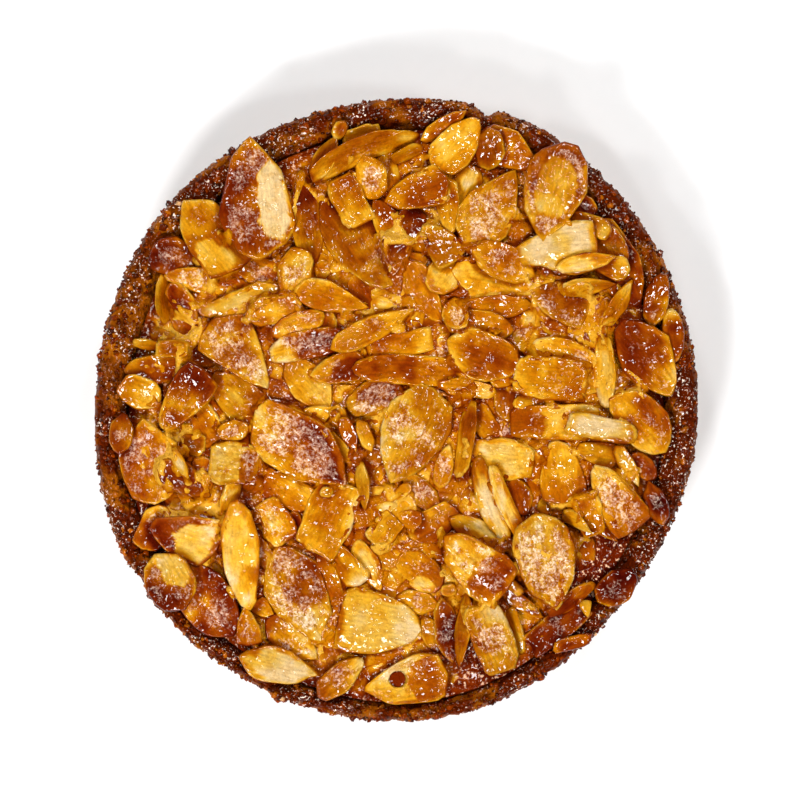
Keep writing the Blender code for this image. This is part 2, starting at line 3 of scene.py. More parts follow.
import bpy
import numpy as np
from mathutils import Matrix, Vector


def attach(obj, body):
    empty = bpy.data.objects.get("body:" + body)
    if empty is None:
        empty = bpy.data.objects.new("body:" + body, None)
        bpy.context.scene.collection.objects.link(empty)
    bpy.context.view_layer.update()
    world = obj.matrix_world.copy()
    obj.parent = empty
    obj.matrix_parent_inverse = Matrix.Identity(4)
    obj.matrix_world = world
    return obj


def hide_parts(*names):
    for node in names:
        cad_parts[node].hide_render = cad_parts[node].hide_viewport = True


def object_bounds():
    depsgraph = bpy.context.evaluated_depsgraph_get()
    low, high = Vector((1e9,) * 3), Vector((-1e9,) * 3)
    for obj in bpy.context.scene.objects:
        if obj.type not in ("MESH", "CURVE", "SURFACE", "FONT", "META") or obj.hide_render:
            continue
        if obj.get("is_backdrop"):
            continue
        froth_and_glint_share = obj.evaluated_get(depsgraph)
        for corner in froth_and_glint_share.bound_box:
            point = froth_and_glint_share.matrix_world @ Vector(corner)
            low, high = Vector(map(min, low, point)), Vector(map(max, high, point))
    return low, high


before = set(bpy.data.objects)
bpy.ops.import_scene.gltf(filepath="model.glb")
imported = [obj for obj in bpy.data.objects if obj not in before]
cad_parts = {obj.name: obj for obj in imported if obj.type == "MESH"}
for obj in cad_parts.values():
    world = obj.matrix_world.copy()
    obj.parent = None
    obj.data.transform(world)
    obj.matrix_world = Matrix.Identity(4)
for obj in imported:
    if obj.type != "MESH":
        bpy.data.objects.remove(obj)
cad_low, cad_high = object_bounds()

# ----------------------------------------------------------------------------------------------
# The case. Shortcrust, pressed by hand into a tin with slanting sides and baked until the sugar in
# it caramelised. Its rim is a band of coarse, dark crumbs that stand proud of the caramel.
RIM_RADIUS = 0.0603
RIM_HEIGHT = 0.0212
BAND_WIDTH = 0.0058
OUTER_DRAFT = 0.0060
INNER_DRAFT = 0.0035
FLOOR_THICKNESS = 0.0040
FOOT_ROUNDING = 0.0012
SHOULDER_HEIGHT = 0.0186
# Waves round the rim: how many, their height and the angle that shifts them.
RIM_WAVES = ((2, 0.00117, -141.8), (5, 0.00044, 34.4), (3, 0.00020, -128.0))
BAND_WAVES = ((1, 0.0013, -90.0), (2, 0.0009, 0.0))
# Bites and drips in the rim: the angle, how far the edge moves out, and its reach along the edge.
RIM_MARKS = ((73.0, -0.0017, 0.0016), (248.0, 0.0013, 0.0016), (214.0, -0.0009, 0.0020))
# Across the rim, from its outer edge (0) to the caramel (1): the share, and how far below the crest.
RIM_PROFILE = ((0.00, 0.0022), (0.12, 0.0007), (0.34, 0.0), (0.60, 0.0005), (0.82, 0.0014), (1.00, 0.0029))
CASE_TURNS = 1130
# The profile's stretches, from the middle of the base over the rim to the middle of the floor: how
# many rings of points each has.
WALL_STEPS, RIM_STEPS, INNER_STEPS = 42, 30, 5
# Crumbs: the sizes of the lumps, and how deep the creases between them are. Each lattice of lumps is
# pushed about by a share of its size, so that no rows show.
CRUMB_SIZES = ((0.0026, 0.00060), (0.0014, 0.00060), (0.0008, 0.00030))
LATTICE_PUSH = 0.4
CRUMBS_PROUD = 0.0006
WORN_DEPTH, WORN_SIZE = 0.0003, 0.004
# The crust's darkest tone goes into the creases between crumbs as painted shade.
CRUST_CREASE_SHADE, CRUST_BROWN, CRUST_GOLD, CRUST_WALL = "#3A0A00", "#5C1A00", "#A85C06", "#A8641A"
# Pale sugar specks on the crust, partly sugar and partly painted glints.
CRUST_SUGAR_GLINT = "#FFEBD8"
# Mottles: the amount, the size and the seed of each cloud in them.
GOLD_PATCHES = ((1.0, 0.0060, 7), (0.5, 0.0024, 8))
WALL_MOTTLE = ((0.50, 0.009, 9), (0.26, 0.0022, 10))
RIM_SYRUP = (0.0035, 19)
SUGAR_GRIT = 0.00055
# Where the rim is golden: at its outer edge, and all across it. The angle and its reach, in degrees.
GOLD_EDGE, GOLD_STRETCH = (-132, 26), (163, 12)
GOLD_EDGE_SHARE = 0.22
WALL_FADE = 0.006


def linear(code):
    """An sRGB hex colour as three linear numbers: the sRGB curve undone, channel by channel."""
    channels = np.array([int(code[place:place + 2], 16) for place in (1, 3, 5)]) / 255
    return np.where(channels <= 0.04045, channels / 12.92, ((channels + 0.055) / 1.055) ** 2.4)


def blended(first, second, share):
    """Row by row, first where share is 0 and second where it is 1."""
    share = np.clip(share, 0, 1)[:, None]
    return first * (1 - share) + second * share


def ramp(values, low, high):
    """0 below low, 1 above high, and a smooth S between them: 3t^2 - 2t^3."""
    share = np.clip((values - low) / (high - low), 0, 1)
    return share * share * (3 - 2 * share)


def bell(away, reach):
    """1 where away is 0, and less on both sides: e to the power of minus (away / reach) squared."""
    return np.exp(-((away / reach) ** 2))


def cell_draw(cells, seed):
    """A repeatable draw from 0 to 1 for each whole-number cell: its three numbers mixed by a hash."""
    cells = cells.astype(np.int64)
    mixed = cells[:, 0] * 73856093 ^ cells[:, 1] * 19349663 ^ cells[:, 2] * 83492791 ^ seed * 2654435
    mixed = (mixed ^ (mixed >> 13)) * 1274126177 & 0x7FFFFFFF
    mixed = (mixed ^ (mixed >> 15)) * 2246822519 & 0x7FFFFFFF
    return (mixed ^ (mixed >> 11)) / 0x7FFFFFFF


def cloud(points, size, seed):
    """Soft noise from 0 to 1: draws at the corners of a lattice of this size, blended by an S curve."""
    scaled = points / size
    low = np.floor(scaled)
    share = ramp(scaled - low, 0, 1)
    total = np.zeros(len(points))
    for corner in range(8):
        step = np.array([corner & 1, corner >> 1 & 1, corner >> 2 & 1])
        weight = np.prod(np.where(step, share, 1 - share), axis=1)
        total += weight * cell_draw(low + step, seed)
    return total


def mottle(points, clouds):
    """Noise about 0: the sum of clouds, each half its amount up and down. Amount, size and seed of each."""
    return sum(amount * (cloud(points, size, seed) - 0.5) for amount, size, seed in clouds)


def lumps(points, size, seed):
    """Rounded lumps, 0 in the creases and up to 1 on top: one point in each lattice cell is a lump's
    middle, the height falls with the square of the distance to the nearest one, and some are lower."""
    scaled = points / size
    low = np.floor(scaled)
    nearest, rise = np.full(len(points), 9.0), np.zeros(len(points))
    for place in range(27):
        cell = low + np.array([place % 3 - 1, place // 3 % 3 - 1, place // 9 - 1])
        middle = cell + np.stack([cell_draw(cell, seed + axis) for axis in range(3)], 1)
        away = ((scaled - middle) ** 2).sum(1)
        rise = np.where(away < nearest, cell_draw(cell, seed + 3), rise)
        nearest = np.minimum(nearest, away)
    return np.clip(1 - nearest, 0, 1) * (0.45 + 0.55 * rise)


def around(waves, turn):
    """The sum of cosines round the tart, one for each (count, height, shift)."""
    return sum(height * np.cos(count * turn + math.radians(shift)) for count, height, shift in waves)


def rim_radius(turn):
    """The rim's outer edge: a nearly round curve with its bites and drips as bell-shaped dips and bumps."""
    radius = RIM_RADIUS + around(RIM_WAVES, turn)
    for angle, out, reach in RIM_MARKS:
        away = np.angle(np.exp(1j * (turn - math.radians(angle)))) * RIM_RADIUS
        radius = radius + out * bell(away, reach)
    return radius


def wall_radius(turn, share):
    """The wall's radius at a share of its height: it slants in towards the foot, and the bites and
    drips of the rim fade out with the square of the share."""
    plain = RIM_RADIUS + around(RIM_WAVES, turn)
    return plain + (rim_radius(turn) - plain) * share**2 - OUTER_DRAFT * (1 - share)


def band_width(turn):
    """How wide the bare rim is, from its outer edge to the caramel."""
    return BAND_WIDTH + around(BAND_WAVES, turn)


def inner_radius(turn):
    """The rim's inner edge, where the caramel starts."""
    return rim_radius(turn) - band_width(turn)


def rim_height(share):
    """Height of the rim's top at a share of the way from its outer edge to the caramel."""
    shares, below = np.array(RIM_PROFILE).T
    return RIM_HEIGHT - np.interp(share, shares, below)


def turned(radius, turn, height):
    """Points at this radius, angle and height."""
    return np.stack([radius * np.cos(turn), radius * np.sin(turn), height], -1).reshape(-1, 3)


def full_turn(count):
    """Angles all the way round, evenly spaced."""
    return np.arange(count) * 2 * math.pi / count


def lathe_faces(rings, turns):
    """Quads between neighbouring rings, row by row, and the fans that close both ends at a pole.
    The poles are the two points after the rings."""
    ring, turn = np.meshgrid(np.arange(rings - 1), np.arange(turns), indexing="ij")
    after = (turn + 1) % turns
    quads = np.stack([ring * turns + turn, ring * turns + after,
                      (ring + 1) * turns + after, (ring + 1) * turns + turn], -1).reshape(-1, 4)
    turn = np.arange(turns)
    after = (turn + 1) % turns
    first = np.stack([np.full(turns, rings * turns), after, turn], 1)
    last = np.stack([np.full(turns, rings * turns + 1), (rings - 1) * turns + turn,
                     (rings - 1) * turns + after], 1)
    return quads, np.concatenate([first, last])


def new_piece(name, points, quads, triangles, material, **attributes):
    """A smooth mesh object at the origin from whole arrays, with its colours and amounts as point data."""
    mesh = bpy.data.meshes.new(name)
    mesh.vertices.add(len(points))
    mesh.vertices.foreach_set("co", np.ascontiguousarray(points, np.float32).ravel())
    corners = np.concatenate([quads.ravel(), triangles.ravel()]).astype(np.int32)
    sides = np.concatenate([np.full(len(quads), 4), np.full(len(triangles), 3)])
    mesh.loops.add(len(corners))
    mesh.loops.foreach_set("vertex_index", corners)
    mesh.polygons.add(len(sides))
    mesh.polygons.foreach_set("loop_start", np.concatenate([[0], np.cumsum(sides)[:-1]]).astype(np.int32))
    mesh.update(calc_edges=True)
    mesh.shade_smooth()
    for key, values in attributes.items():
        if values.ndim == 2:
            layer = mesh.attributes.new(key, "FLOAT_COLOR", "POINT")
            layer.data.foreach_set("color", np.insert(values, 3, 1.0, axis=1).astype(np.float32).ravel())
        else:
            layer = mesh.attributes.new(key, "FLOAT", "POINT")
            layer.data.foreach_set("value", values.astype(np.float32))
    mesh.materials.append(material)
    piece = bpy.data.objects.new(name, mesh)
    bpy.context.scene.collection.objects.link(piece)
    return piece


def new_material(name):
    """A material with an empty node tree, and the tree."""
    material = bpy.data.materials.new(name)
    material.use_nodes = True
    material.node_tree.nodes.clear()
    return material, material.node_tree


def node(tree, kind, inputs, **settings):
    """Adds a shader node: settings are its own properties, and inputs maps a socket to a value, to the
    output that is linked into it, or to a node, whose first output is linked."""
    made = tree.nodes.new("ShaderNode" + kind)
    for key, value in settings.items():
        setattr(made, key, value)
    for key, value in inputs.items():
        if isinstance(value, bpy.types.Node):
            value = value.outputs[0]
        if isinstance(value, bpy.types.NodeSocket):
            tree.links.new(value, made.inputs[key])
        else:
            made.inputs[key].default_value = value
    return made


def rgba(code):
    """A hex colour as the four linear numbers that a colour socket takes."""
    return (*linear(code), 1.0)


def case_profile(turn):
    """The case's section carried round the outline: rows are the rings from the foot over the rim to
    the floor, and columns the turns. Radius, height, how crumbly it is, and the share across the rim."""
    outside, band, inside = rim_radius(turn), band_width(turn), inner_radius(turn)
    flat = np.ones_like(turn)
    foot = wall_radius(turn, 0.0)
    rings = [(foot - 8 * FOOT_ROUNDING, 0 * flat, 0.0, 0.0), (foot - FOOT_ROUNDING, 0 * flat, 0.0, 0.0),
             (foot - 0.3 * FOOT_ROUNDING, 0.3 * FOOT_ROUNDING * flat, 0.2, 0.0)]
    for share in np.linspace(0, 1, WALL_STEPS, endpoint=False):
        height = FOOT_ROUNDING + (SHOULDER_HEIGHT - FOOT_ROUNDING) * share
        rings.append((wall_radius(turn, share), height * flat, 0.35 + 0.65 * share**2, 0.0))
    for share in np.linspace(0, 1, RIM_STEPS):
        rings.append((outside - share * band, rim_height(share) * flat, 1.0 - 0.35 * share, share))
    depth = rim_height(1.0) - FLOOR_THICKNESS
    for share in np.linspace(0, 1, INNER_STEPS + 1)[1:]:
        rings.append((inside - INNER_DRAFT * share, (FLOOR_THICKNESS + depth * (1 - share)) * flat, 0.0, 1.0))
    return [np.array(column) for column in zip(*rings)]


def case_surface():
    """The crumbed case: each point of the section is moved along the section's normal by lumps of three
    sizes, so that the tallest crumbs stand a little proud and the creases lie below it."""
    turn = full_turn(CASE_TURNS)
    radius, height, crumbly, share = case_profile(turn)
    run, rise = np.gradient(radius, axis=0), np.gradient(height, axis=0)
    length = np.hypot(run, rise) + 1e-9
    normal_out, normal_up = rise / length, -run / length
    points = turned(radius, turn, height)
    relief = np.zeros(len(points))
    depth = sum(crease for _, crease in CRUMB_SIZES)
    for number, (size, crease) in enumerate(CRUMB_SIZES):
        push = LATTICE_PUSH * size * cloud(points, size, 31 + number)
        relief += lumps(points + push[:, None], size, 11 + 5 * number) * crease
    worn = WORN_DEPTH * cloud(points, WORN_SIZE, 3)
    out = (relief + CRUMBS_PROUD - depth - worn).reshape(radius.shape) * crumbly[:, None]
    surface = turned(radius + out * normal_out, turn, np.maximum(height + out * normal_up, 0))
    surface = np.clip(surface, np.array(cad_low), np.array(cad_high))
    poles = np.array([(0, 0, 0), (0, 0, FLOOR_THICKNESS)])
    return np.concatenate([surface, poles]), relief / depth, np.repeat(share, CASE_TURNS), len(crumbly)


def case_colours(points, relief, share):
    """Red-brown, darker in the creases as painted shade and brown on the lumps, with golden patches where the
    sugar caught less heat, mostly on the outer edge and down the wall and mostly on the lumps. Returns the
    tone and how much syrup there is."""
    here = points[:len(relief)]
    turn = np.degrees(np.arctan2(here[:, 1], here[:, 0]))
    # Painted shade: the tone and its golden patches darken into the creases between crumbs.
    tone = blended(linear(CRUST_CREASE_SHADE), linear(CRUST_BROWN), ramp(relief, 0.15, 0.70))
    patch = ramp(mottle(here, GOLD_PATCHES), 0.05, 0.30)
    edge = ramp(GOLD_EDGE_SHARE - share, 0, GOLD_EDGE_SHARE)
    edge *= 0.25 + 0.75 * bell(turn - GOLD_EDGE[0], GOLD_EDGE[1])
    stretch = bell(turn - GOLD_STRETCH[0], GOLD_STRETCH[1])
    gold = np.clip(0.6 * patch + edge + 0.6 * stretch, 0, 1) * (0.15 + 0.85 * ramp(relief, 0.25, 0.65))
    tone = blended(tone, linear(CRUST_GOLD), gold)
    wall = ramp(SHOULDER_HEIGHT - here[:, 2], 0.0, WALL_FADE)
    # Painted shade: the wall's colour darkens into the creases between its crumbs.
    mottled = (0.45 + 0.55 * relief) * (1 + mottle(here, WALL_MOTTLE))
    tone = blended(tone, linear(CRUST_WALL) * mottled[:, None], 0.85 * wall)
    return tone, (1 - 0.93 * wall) * ramp(cloud(here, *RIM_SYRUP), 0.35, 0.7)


# Dark-baked shortcrust, rough and grainy, with syrup that soaked into the rim: a dull ground with sugared
# crumbs, whose sharp glints come partly from the coat and partly from pale specks painted into the colour.
crust_material, tree = new_material("dark_baked_shortcrust")
place = node(tree, "TexCoord", {}).outputs["Object"]
tone = node(tree, "Attribute", {}, attribute_name="tone")
syrup = node(tree, "Attribute", {}, attribute_name="syrup").outputs["Fac"]
# Sugar crystals about 0.3 mm across. Their pale specks are partly painted glints.
grit = node(tree, "TexNoise", {"Vector": place, "Scale": 1 / SUGAR_GRIT, "Detail": 2.0, "Roughness": 0.6})
speck = node(tree, "MapRange", {"Value": grit, "From Min": 0.61, "From Max": 0.66})
froth_and_glint_share = node(tree, "Math", {0: speck, 1: syrup}, operation="MULTIPLY")
shade = node(tree, "MapRange", {"Value": grit, "From Min": 0.3, "From Max": 0.7, "To Min": 0.65,
                                "To Max": 1.3})
toned = node(tree, "VectorMath", {0: tone, "Scale": shade}, operation="SCALE")
colour = node(tree, "MixRGB", {"Fac": froth_and_glint_share, "Color1": toned, "Color2": rgba(CRUST_SUGAR_GLINT)})
rough = node(tree, "MapRange", {"Value": syrup, "To Min": 0.62, "To Max": 0.30})
bump = node(tree, "Bump", {"Height": grit, "Strength": 1.0, "Distance": 0.0005})
shader = node(tree, "BsdfPrincipled", {
    "Base Color": colour, "Roughness": rough, "IOR": 1.48, "Specular IOR Level": 0.0, "Normal": bump,
    "Coat Weight": 0.24, "Coat Roughness": 0.05})
node(tree, "OutputMaterial", {"Surface": shader})

points, relief, share, rings = case_surface()
tone, syrup = case_colours(points, relief, share)
quads, fans = lathe_faces(rings, CASE_TURNS)
poles = np.array([linear(CRUST_WALL), linear(CRUST_BROWN)])
case = new_piece("pastry_case", points, quads, fans, crust_material,
                 tone=np.concatenate([tone, poles]), syrup=np.concatenate([syrup, [0.0, 0.0]]))
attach(case, "root")
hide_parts("crust")

# ----------------------------------------------------------------------------------------------
# Loose crumbs on the case. Bits of the shortcrust and of burnt sugar, 0.4 to 1.6 mm, that baked fast to
# the rim and to the wall below it.
CRUMB_COUNT = 3600
CRUMB_RINGS, CRUMB_TURNS = 4, 6
# Most are small: the smallest size, what the largest has more, and the power that the draw is raised to.
CRUMB_LEAST, CRUMB_MORE, CRUMB_POWER = 0.0004, 0.0012, 2.4
# How they lie: as shares of the rim's width, from its outer edge in, and below 0 down the wall.
CRUMB_SHARES = (-0.55, 0.95)
WALL_DROP = 0.014
# How far each is stretched and dented, and the share of its size that is sunk into the case.
CRUMB_STRETCH, CRUMB_DENTS = (0.5, 1.4), (0.68, 1.28)
CRUMB_SUNK, EDGE_CRUMB_SUNK = 0.32, 0.25
# Their tones, and the share of crumbs that has each.
CRUMB_TONES = (("#421200", 0.14), ("#5C1B00", 0.48), ("#802F00", 0.30), ("#A05206", 0.075),
               ("#E8B078", 0.005))


def crumb_shapes(draw, middles, sizes):
    """Closed crumbs at these middles: small spheres of a few rings, each stretched by its own three
    factors, turned by its own rotation and dented at random. One crumb after another."""
    polar = np.arange(1, CRUMB_RINGS + 1) * math.pi / (CRUMB_RINGS + 1)
    turn = full_turn(CRUMB_TURNS)
    ball = turned(np.sin(polar)[:, None], turn, np.outer(np.cos(polar), np.ones(CRUMB_TURNS)))
    ball = np.concatenate([ball, [(0, 0, 1), (0, 0, -1)]])
    count = len(middles)
    shape = ball[None] * draw.uniform(*CRUMB_STRETCH, (count, 1, 3))
    shape *= draw.uniform(*CRUMB_DENTS, (count, len(ball), 1))
    frames = np.linalg.qr(draw.normal(size=(count, 3, 3)))[0]
    frames *= np.sign(np.linalg.det(frames))[:, None, None]
    shape = np.einsum("cij,cpj->cpi", frames, shape) * sizes[:, None, None] / 2
    quads, fans = lathe_faces(CRUMB_RINGS, CRUMB_TURNS)
    start = np.arange(count)[:, None, None] * len(ball)
    return ((shape + middles[:, None]).reshape(-1, 3), (quads[None, :, ::-1] + start).reshape(-1, 4),
            (fans[None, :, ::-1] + start).reshape(-1, 3))


def crumb_tones(draw, count):
    """A tone for each point of each crumb, one tone for a whole crumb."""
    shares = np.array([share for _, share in CRUMB_TONES])
    pick = draw.choice(len(CRUMB_TONES), count, p=shares / shares.sum())
    tones = np.stack([linear(code) for code, _ in CRUMB_TONES])[pick] * draw.uniform(0.75, 1.25, (count, 1))
    return np.repeat(tones, CRUMB_RINGS * CRUMB_TURNS + 2, axis=0)


draw = np.random.default_rng(41)
turn = draw.uniform(0, 2 * math.pi, CRUMB_COUNT)
share = draw.uniform(*CRUMB_SHARES, CRUMB_COUNT)
size = CRUMB_LEAST + CRUMB_MORE * draw.random(CRUMB_COUNT) ** CRUMB_POWER
drop = np.clip(-share, 0, 1) * WALL_DROP
radius = wall_radius(turn, 1 - drop / SHOULDER_HEIGHT) - np.clip(share, 0, 1) * band_width(turn)
radius -= np.where(share < 0.1, EDGE_CRUMB_SUNK, 0.0) * size
height = np.where(share > 0, rim_height(np.clip(share, 0, 1)), SHOULDER_HEIGHT - drop) - CRUMB_SUNK * size
points, quads, fans = crumb_shapes(draw, turned(radius, turn, height), size)
points = np.clip(points, np.array(cad_low), np.array(cad_high))
tone = crumb_tones(draw, CRUMB_COUNT)
syrup = 0.8 * ramp(cloud(points, *RIM_SYRUP), 0.35, 0.65)
crumbs = new_piece("rim_crumbs", points, quads, fans, crust_material, tone=tone, syrup=syrup)
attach(crumbs, "root")
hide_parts("crust")

# ----------------------------------------------------------------------------------------------
# How the almond slices lie. They were strewn over the hot caramel by hand: each one lies on those
# that fell before it, and a few stand on their long edges.
MM = 0.001
CARAMEL_EDGE = 0.0181
CARAMEL_CROWN = 0.0019
SLICE_THICKNESS = 0.0013
# A slice comes to rest where this share of the pile under it is below it, and sinks in a little. High
# spots press into it by at most a share of its thickness, and it stays clear of the rim.
RESTING_SHARE, SLICE_SINK, DEEPEST_SINK = 0.80, 0.0002, 0.75
STEEPEST_LIE = math.tan(math.radians(17.0))
CRUST_CLEARANCE = 0.0004
# The grid that holds the pile's height: the side of a cell, and how far it reaches from the middle.
CELL = 0.0005
GRID_REACH = 0.0640

# Outlines of a slice: how fast it narrows towards its far end and towards its near end.
LEAF = (0.75, 0.50)
OVAL = (0.50, 0.50)
STUB = (0.15, 0.50)
BLOCK = (0.14, 0.14)
STRIP = (0.30, 0.30)
WEDGE = (0.95, 0.20)

# Each slice in millimetres and degrees: x, y, length, width, the turn of its length from +X, its outline,
# how much it curves along its length, how far it leans over on its long edge, and its finish. For some, also
# the side that is darker, from more syrup and painted shade, as an angle from the slice's far end.
LOWER_SLICES = (
    # Upper left, by the rim.
    (-43.5, 29.6, 9.5, 8.0, 10, OVAL, 0, 0, "brown", 180),
    (-40.0, 25.3, 10.0, 5.2, -8, STUB, 0, 0, "frost"),
    (-26.8, 26.6, 10.5, 6.5, -20, STUB, 0, 0, "goldfrost"),
    (-17.4, 37.5, 19.0, 7.0, 95, LEAF, 8, 20, "brownamber", 0),
    (-13.6, 49.0, 9.5, 5.0, 62, LEAF, 0, -25, "gold"),
    (-6.6, 53.4, 7.5, 3.4, 16, BLOCK, 0, 15, "bright"),
    (-10.8, 54.2, 4.2, 3.0, 60, OVAL, 0, 0, "brownamber"),
    # Top.
    (-6.6, 33.0, 23.5, 13.0, -58, LEAF, 0, 0, "amber", 180),
    (-1.6, 46.0, 9.0, 5.5, 95, OVAL, 0, 0, "gold"),
    (-1.2, 36.0, 11.5, 6.5, -58, STUB, 0, 0, "amber", 90),
    (3.4, 36.2, 8.0, 6.0, -80, OVAL, 0, 0, "brownamber"),
    (4.4, 28.8, 4.4, 3.4, -20, OVAL, 0, 0, "gold"),
    (5.8, 22.8, 14.5, 6.2, -62, LEAF, 8, 0, "gold"),
    (10.0, 26.4, 9.5, 7.5, 50, OVAL, 0, 0, "cream"),
    (22.0, 50.4, 13.5, 8.0, -28, LEAF, 0, 0, "amber"),
    (18.4, 50.5, 8.0, 6.5, 90, OVAL, 0, 0, "brownamber"),
    (19.2, 25.4, 16.5, 10.0, -10, OVAL, 0, 0, "yellow", 45),
    (19.5, 19.8, 13.5, 5.2, 3, OVAL, 12, 0, "amber"),
    # Upper right.
    (42.8, 28.4, 19.0, 9.5, -63, OVAL, -18, 15, "brownamber", 45),
    (37.2, 39.4, 5.6, 4.2, -50, OVAL, 0, 0, "brown"),
    (32.4, 21.0, 12.0, 9.5, -15, STUB, 0, 0, "amberfrost", 45),
    (43.6, 20.4, 10.5, 4.2, 60, LEAF, 10, 25, "gold"),
    (54.2, 14.0, 11.0, 4.4, 92, OVAL, 0, 0, "brown"),
    # Left.
    (-39.6, 14.6, 14.5, 7.5, -55, STUB, 0, 0, "brownamber"),
    (-46.0, 7.6, 14.5, 5.6, 2, OVAL, 0, 0, "brownamber"),
    (-36.8, -3.2, 8.5, 5.4, -60, BLOCK, 0, 0, "gold"),
    (-31.2, 2.4, 12.5, 9.0, -42, STUB, 0, 0, "gold", 45),
    (-31.6, -4.4, 7.0, 4.4, 10, OVAL, 0, 0, "goldfrost"),
    (-48.0, -11.0, 16.5, 12.0, -82, OVAL, 0, 0, "amberfrost", 270),
    (-53.4, -5.0, 8.0, 5.0, 88, OVAL, 0, 0, "brown"),
    (-39.6, -7.2, 5.4, 4.2, 0, BLOCK, 0, 0, "amber"),
    (-37.4, -13.5, 8.0, 5.0, 88, STUB, 0, 0, "amberfrost"),
    (-32.2, -17.6, 8.0, 3.8, 72, STRIP, 0, 20, "pale"),
    (-21.2, -16.2, 10.5, 6.4, -25, BLOCK, 0, 0, "gold", 225),
    # Middle.
    (-13.4, 16.8, 5.0, 4.4, 80, OVAL, 0, 0, "gold"),
    (-17.0, 4.8, 13.0, 8.2, -48, OVAL, 0, 0, "gold"),
    (-14.6, -1.2, 6.0, 5.0, 30, WEDGE, 0, 0, "yellow"),
    (-11.0, -1.6, 4.6, 3.4, -60, STRIP, 0, 0, "gold"),
    (-9.0, -5.2, 7.5, 3.6, -68, LEAF, 0, 20, "amber"),
    (-5.8, -5.4, 6.6, 3.2, -68, OVAL, 0, 0, "gold"),
    (17.3, -2.6, 7.0, 5.0, -60, BLOCK, 0, 0, "amber"),
    (21.6, 2.6, 11.5, 5.0, -86, OVAL, 0, 0, "amber"),
    (16.5, 16.0, 14.0, 6.2, -5, OVAL, 0, 0, "gold"),
    (21.4, 6.8, 7.0, 5.4, 30, OVAL, 0, 0, "gold"),
    (9.6, -11.4, 9.0, 4.0, 78, LEAF, 0, 0, "frost"),
    (5.2, -16.6, 9.5, 5.2, -50, OVAL, 0, 0, "frost"),
    (-3.0, -16.4, 5.4, 3.6, 20, WEDGE, 0, 0, "bright"),
    (1.6, -16.2, 4.2, 2.8, 40, OVAL, 0, 0, "gold"),
    (26.4, 1.4, 7.0, 3.6, 10, OVAL, 0, 0, "yellow"),
    (39.6, -8.8, 9.0, 5.4, -15, STUB, 0, 0, "yellow"),
    (24.4, -17.4, 7.6, 5.0, -68, OVAL, 0, 0, "amber"),
    (51.0, -18.6, 8.5, 4.6, -72, OVAL, 0, 0, "brown"),
    (48.6, -11.4, 7.0, 4.4, -50, OVAL, 0, 0, "brownamber"),
    (31.5, -18.5, 8.0, 5.0, 20, OVAL, 0, 0, "yellow"),
    # Lower right.
    (37.2, -27.4, 7.4, 4.6, -82, OVAL, 0, 0, "amber"),
    (41.4, -24.2, 6.4, 3.4, -40, WEDGE, 0, 0, "gold"),
    (24.8, -38.2, 10.5, 3.8, -33, LEAF, 8, 20, "brownamber"),
    (43.2, -35.0, 9.5, 6.6, 38, OVAL, 0, 0, "burnt", 90),
    # Bottom.
    (7.6, -22.6, 11.5, 7.0, 30, OVAL, 0, 0, "goldamber", 315),
    (4.2, -38.0, 8.5, 5.0, -10, OVAL, 0, 0, "goldfrost"),
    (-1.5, -28.6, 8.5, 6.0, -65, LEAF, 0, 0, "gold"),
    (2.8, -21.6, 5.4, 4.2, -20, STUB, 0, 0, "olive"),
    (-12.8, -33.4, 11.0, 3.8, -68, STRIP, 0, 0, "brownfrost"),
    (7.2, -44.4, 8.0, 4.0, -68, OVAL, 0, 0, "frost"),
    (10.2, -43.4, 13.0, 5.4, -80, OVAL, 0, 0, "brown", 45),
    (-6.4, -21.4, 4.4, 2.8, 30, OVAL, 0, 0, "frost"),
    (-2.0, -19.4, 5.4, 2.6, 12, OVAL, 0, 0, "frost"),
    (-19.4, -23.2, 6.6, 3.4, -80, OVAL, 0, 0, "brown"),
    (-25.4, -39.6, 5.0, 4.2, -40, WEDGE, 0, 0, "brownamber"),
    (-34.9, -32.6, 5.0, 3.0, -70, OVAL, 0, 0, "pale"),
)
